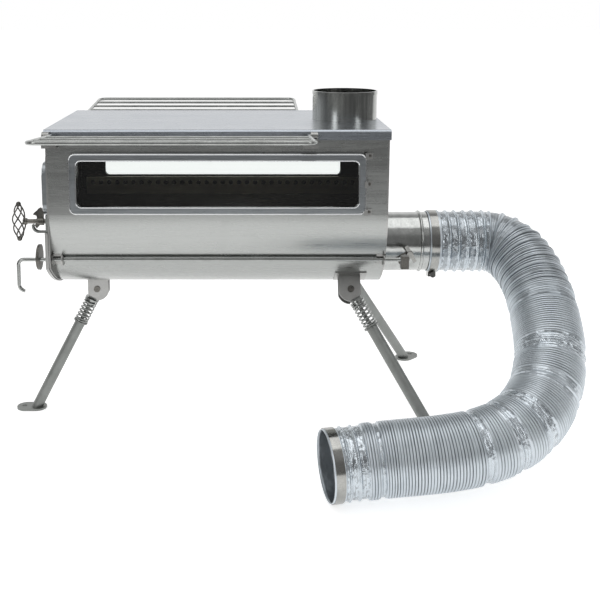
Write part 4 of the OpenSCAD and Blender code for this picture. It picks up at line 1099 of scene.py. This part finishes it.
@dataclass
class Door:
    """The loading door with its window, handle and latch."""

    handle: tuple[str, ...] = ("handle_basket", "handle_shaft", "latch_cam")
    beads: FrameBeads = FrameBeads(corner=0.016, rim=0.014, inner_corner=0.008)

    def build(self) -> None:
        """Dresses the door's nodes and rolls the beads."""
        dress(Finishes.END, "door_pan")
        dress(Finishes.FITTING, "door_hinge_straps")
        dress(Finishes.FRAME, "door_window_frame")
        dress(Finishes.GLASS, "door_glass")
        dress(Finishes.SEAL, "door_seal")
        dress(Finishes.DARK, *self.handle)
        low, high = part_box("door_window_frame")
        place = Matrix.Translation((low[0], (low[1] + high[1]) / 2, (low[2] + high[2]) / 2)) \
            @ Matrix.Rotation(math.radians(90), 4, "Z") @ Matrix.Rotation(math.radians(90), 4, "X")
        self.beads.roll(("door_frame_bead", "door_frame_lip"), (high[1] - low[1]) / 2, (high[2] - low[2]) / 2,
                        place, "door")


@dataclass
class AirControl:
    """The control rod, the draft disc and the damper."""

    dark: tuple[str, ...] = ("rod_end_lug", "draft_disc", "damper_crank")
    bright: tuple[str, ...] = ("damper_plate", "damper_shaft", "damper_nut")

    def build(self) -> None:
        """Dresses the air control's nodes."""
        dress(Finishes.WIRE, "control_rod")
        dress(Finishes.DARK, *self.dark)
        dress(Finishes.CLAMP, *self.bright)


@dataclass
class Racks:
    """The two folding wire racks."""

    nodes: tuple[str, ...] = ("rack_front", "rack_rear")

    def build(self) -> None:
        """Dresses the racks."""
        dress(Finishes.WIRE, *self.nodes)


@dataclass
class Legs:
    """The three folding legs with their springs and lock sleeves.

    Attributes:
        wire: Thickness of a spring's wire.
        steps: Steps round a turn.
        sides: Sides of the wire.
        coil: Outer width of a spring.
        end_pitch: Rise of its first and its last turn.
        spring_start: Distance from the leg's pivot to the spring's first wire.
        spring_stop: Distance from the leg's pivot to its last wire.
        travel: How far a lock sleeve presses the spring together; not used.
    """

    names: tuple[str, ...] = ("left", "front", "rear")
    wire: float = 0.0023
    turns: int = 7
    steps: int = 24
    sides: int = 12
    coil: float = 0.0202
    end_pitch: float = 0.0030
    spring_start: float = 0.02087
    spring_stop: float = 0.05355
    travel: float = 0.008

    def way(self, name: str) -> tuple[Vector, Vector]:
        """The leg's pivot and the direction from the pivot down the leg, read from its joints."""
        joints = {joint["name"]: joint for joint in frame["record"]["behaviour"]["joints"]}
        return Vector(joints[f"leg_{name}_fold"]["pos_m"]), Vector(joints[f"sleeve_{name}_slide"]["axis"])

    def depth(self, turn: float) -> float:
        """Finds how far along the leg a spring's wire is.

        Args:
            turn: Turns from the spring's start.

        Returns:
            The distance from the pivot.
        """
        inner = self.spring_stop - self.spring_start - 2 * self.end_pitch
        if turn < 1:
            return self.spring_start + self.end_pitch * turn
        if turn > self.turns - 1:
            return self.spring_stop - self.end_pitch * (self.turns - turn)
        return self.spring_start + self.end_pitch + inner * (turn - 1) / (self.turns - 2)

    def spring(self, name: str) -> None:
        """Winds a leg's spring in place of its CAD solid.

        Args:
            name: The leg.
        """
        pivot, way = self.way(name)
        across = way.orthogonal().normalized()
        up = way.cross(across)
        r = (self.coil - self.wire) / 2
        line = []
        for i in range(self.turns * self.steps + 1):
            a = 2 * math.pi * i / self.steps
            line.append(pivot + way * self.depth(i / self.steps) + r * (math.cos(a) * across + math.sin(a) * up))
        points, faces = tube_mesh(line, self.wire / 2, False, self.sides)
        coil = mesh_piece(f"spring_coil_{name}", points, faces, Finishes.WIRE.make(), f"leg_{name}")
        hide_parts(f"spring_{name}")
        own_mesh(coil)

    def build(self) -> None:
        """Dresses the legs and winds their springs."""
        for name in self.names:
            dress(Finishes.LEG, f"leg_{name}", f"foot_{name}")
            dress(Finishes.WIRE, f"sleeve_{name}")
            self.spring(name)


def main() -> None:
    """Builds the studio and the stove's sub-assemblies in order."""
    logging.basicConfig(level=logging.INFO, format="%(name)s %(message)s")
    hose = AirHose()
    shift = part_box("air_pipe")[1][0] - hose.pipe_end
    Studio().build(shift)
    hose.build(shift)
    for part in (Firebox(), Door(), AirControl(), Racks(), Legs()):
        part.build()
        log.info("%s done", type(part).__name__)


if __name__ == "__main__":
    main()
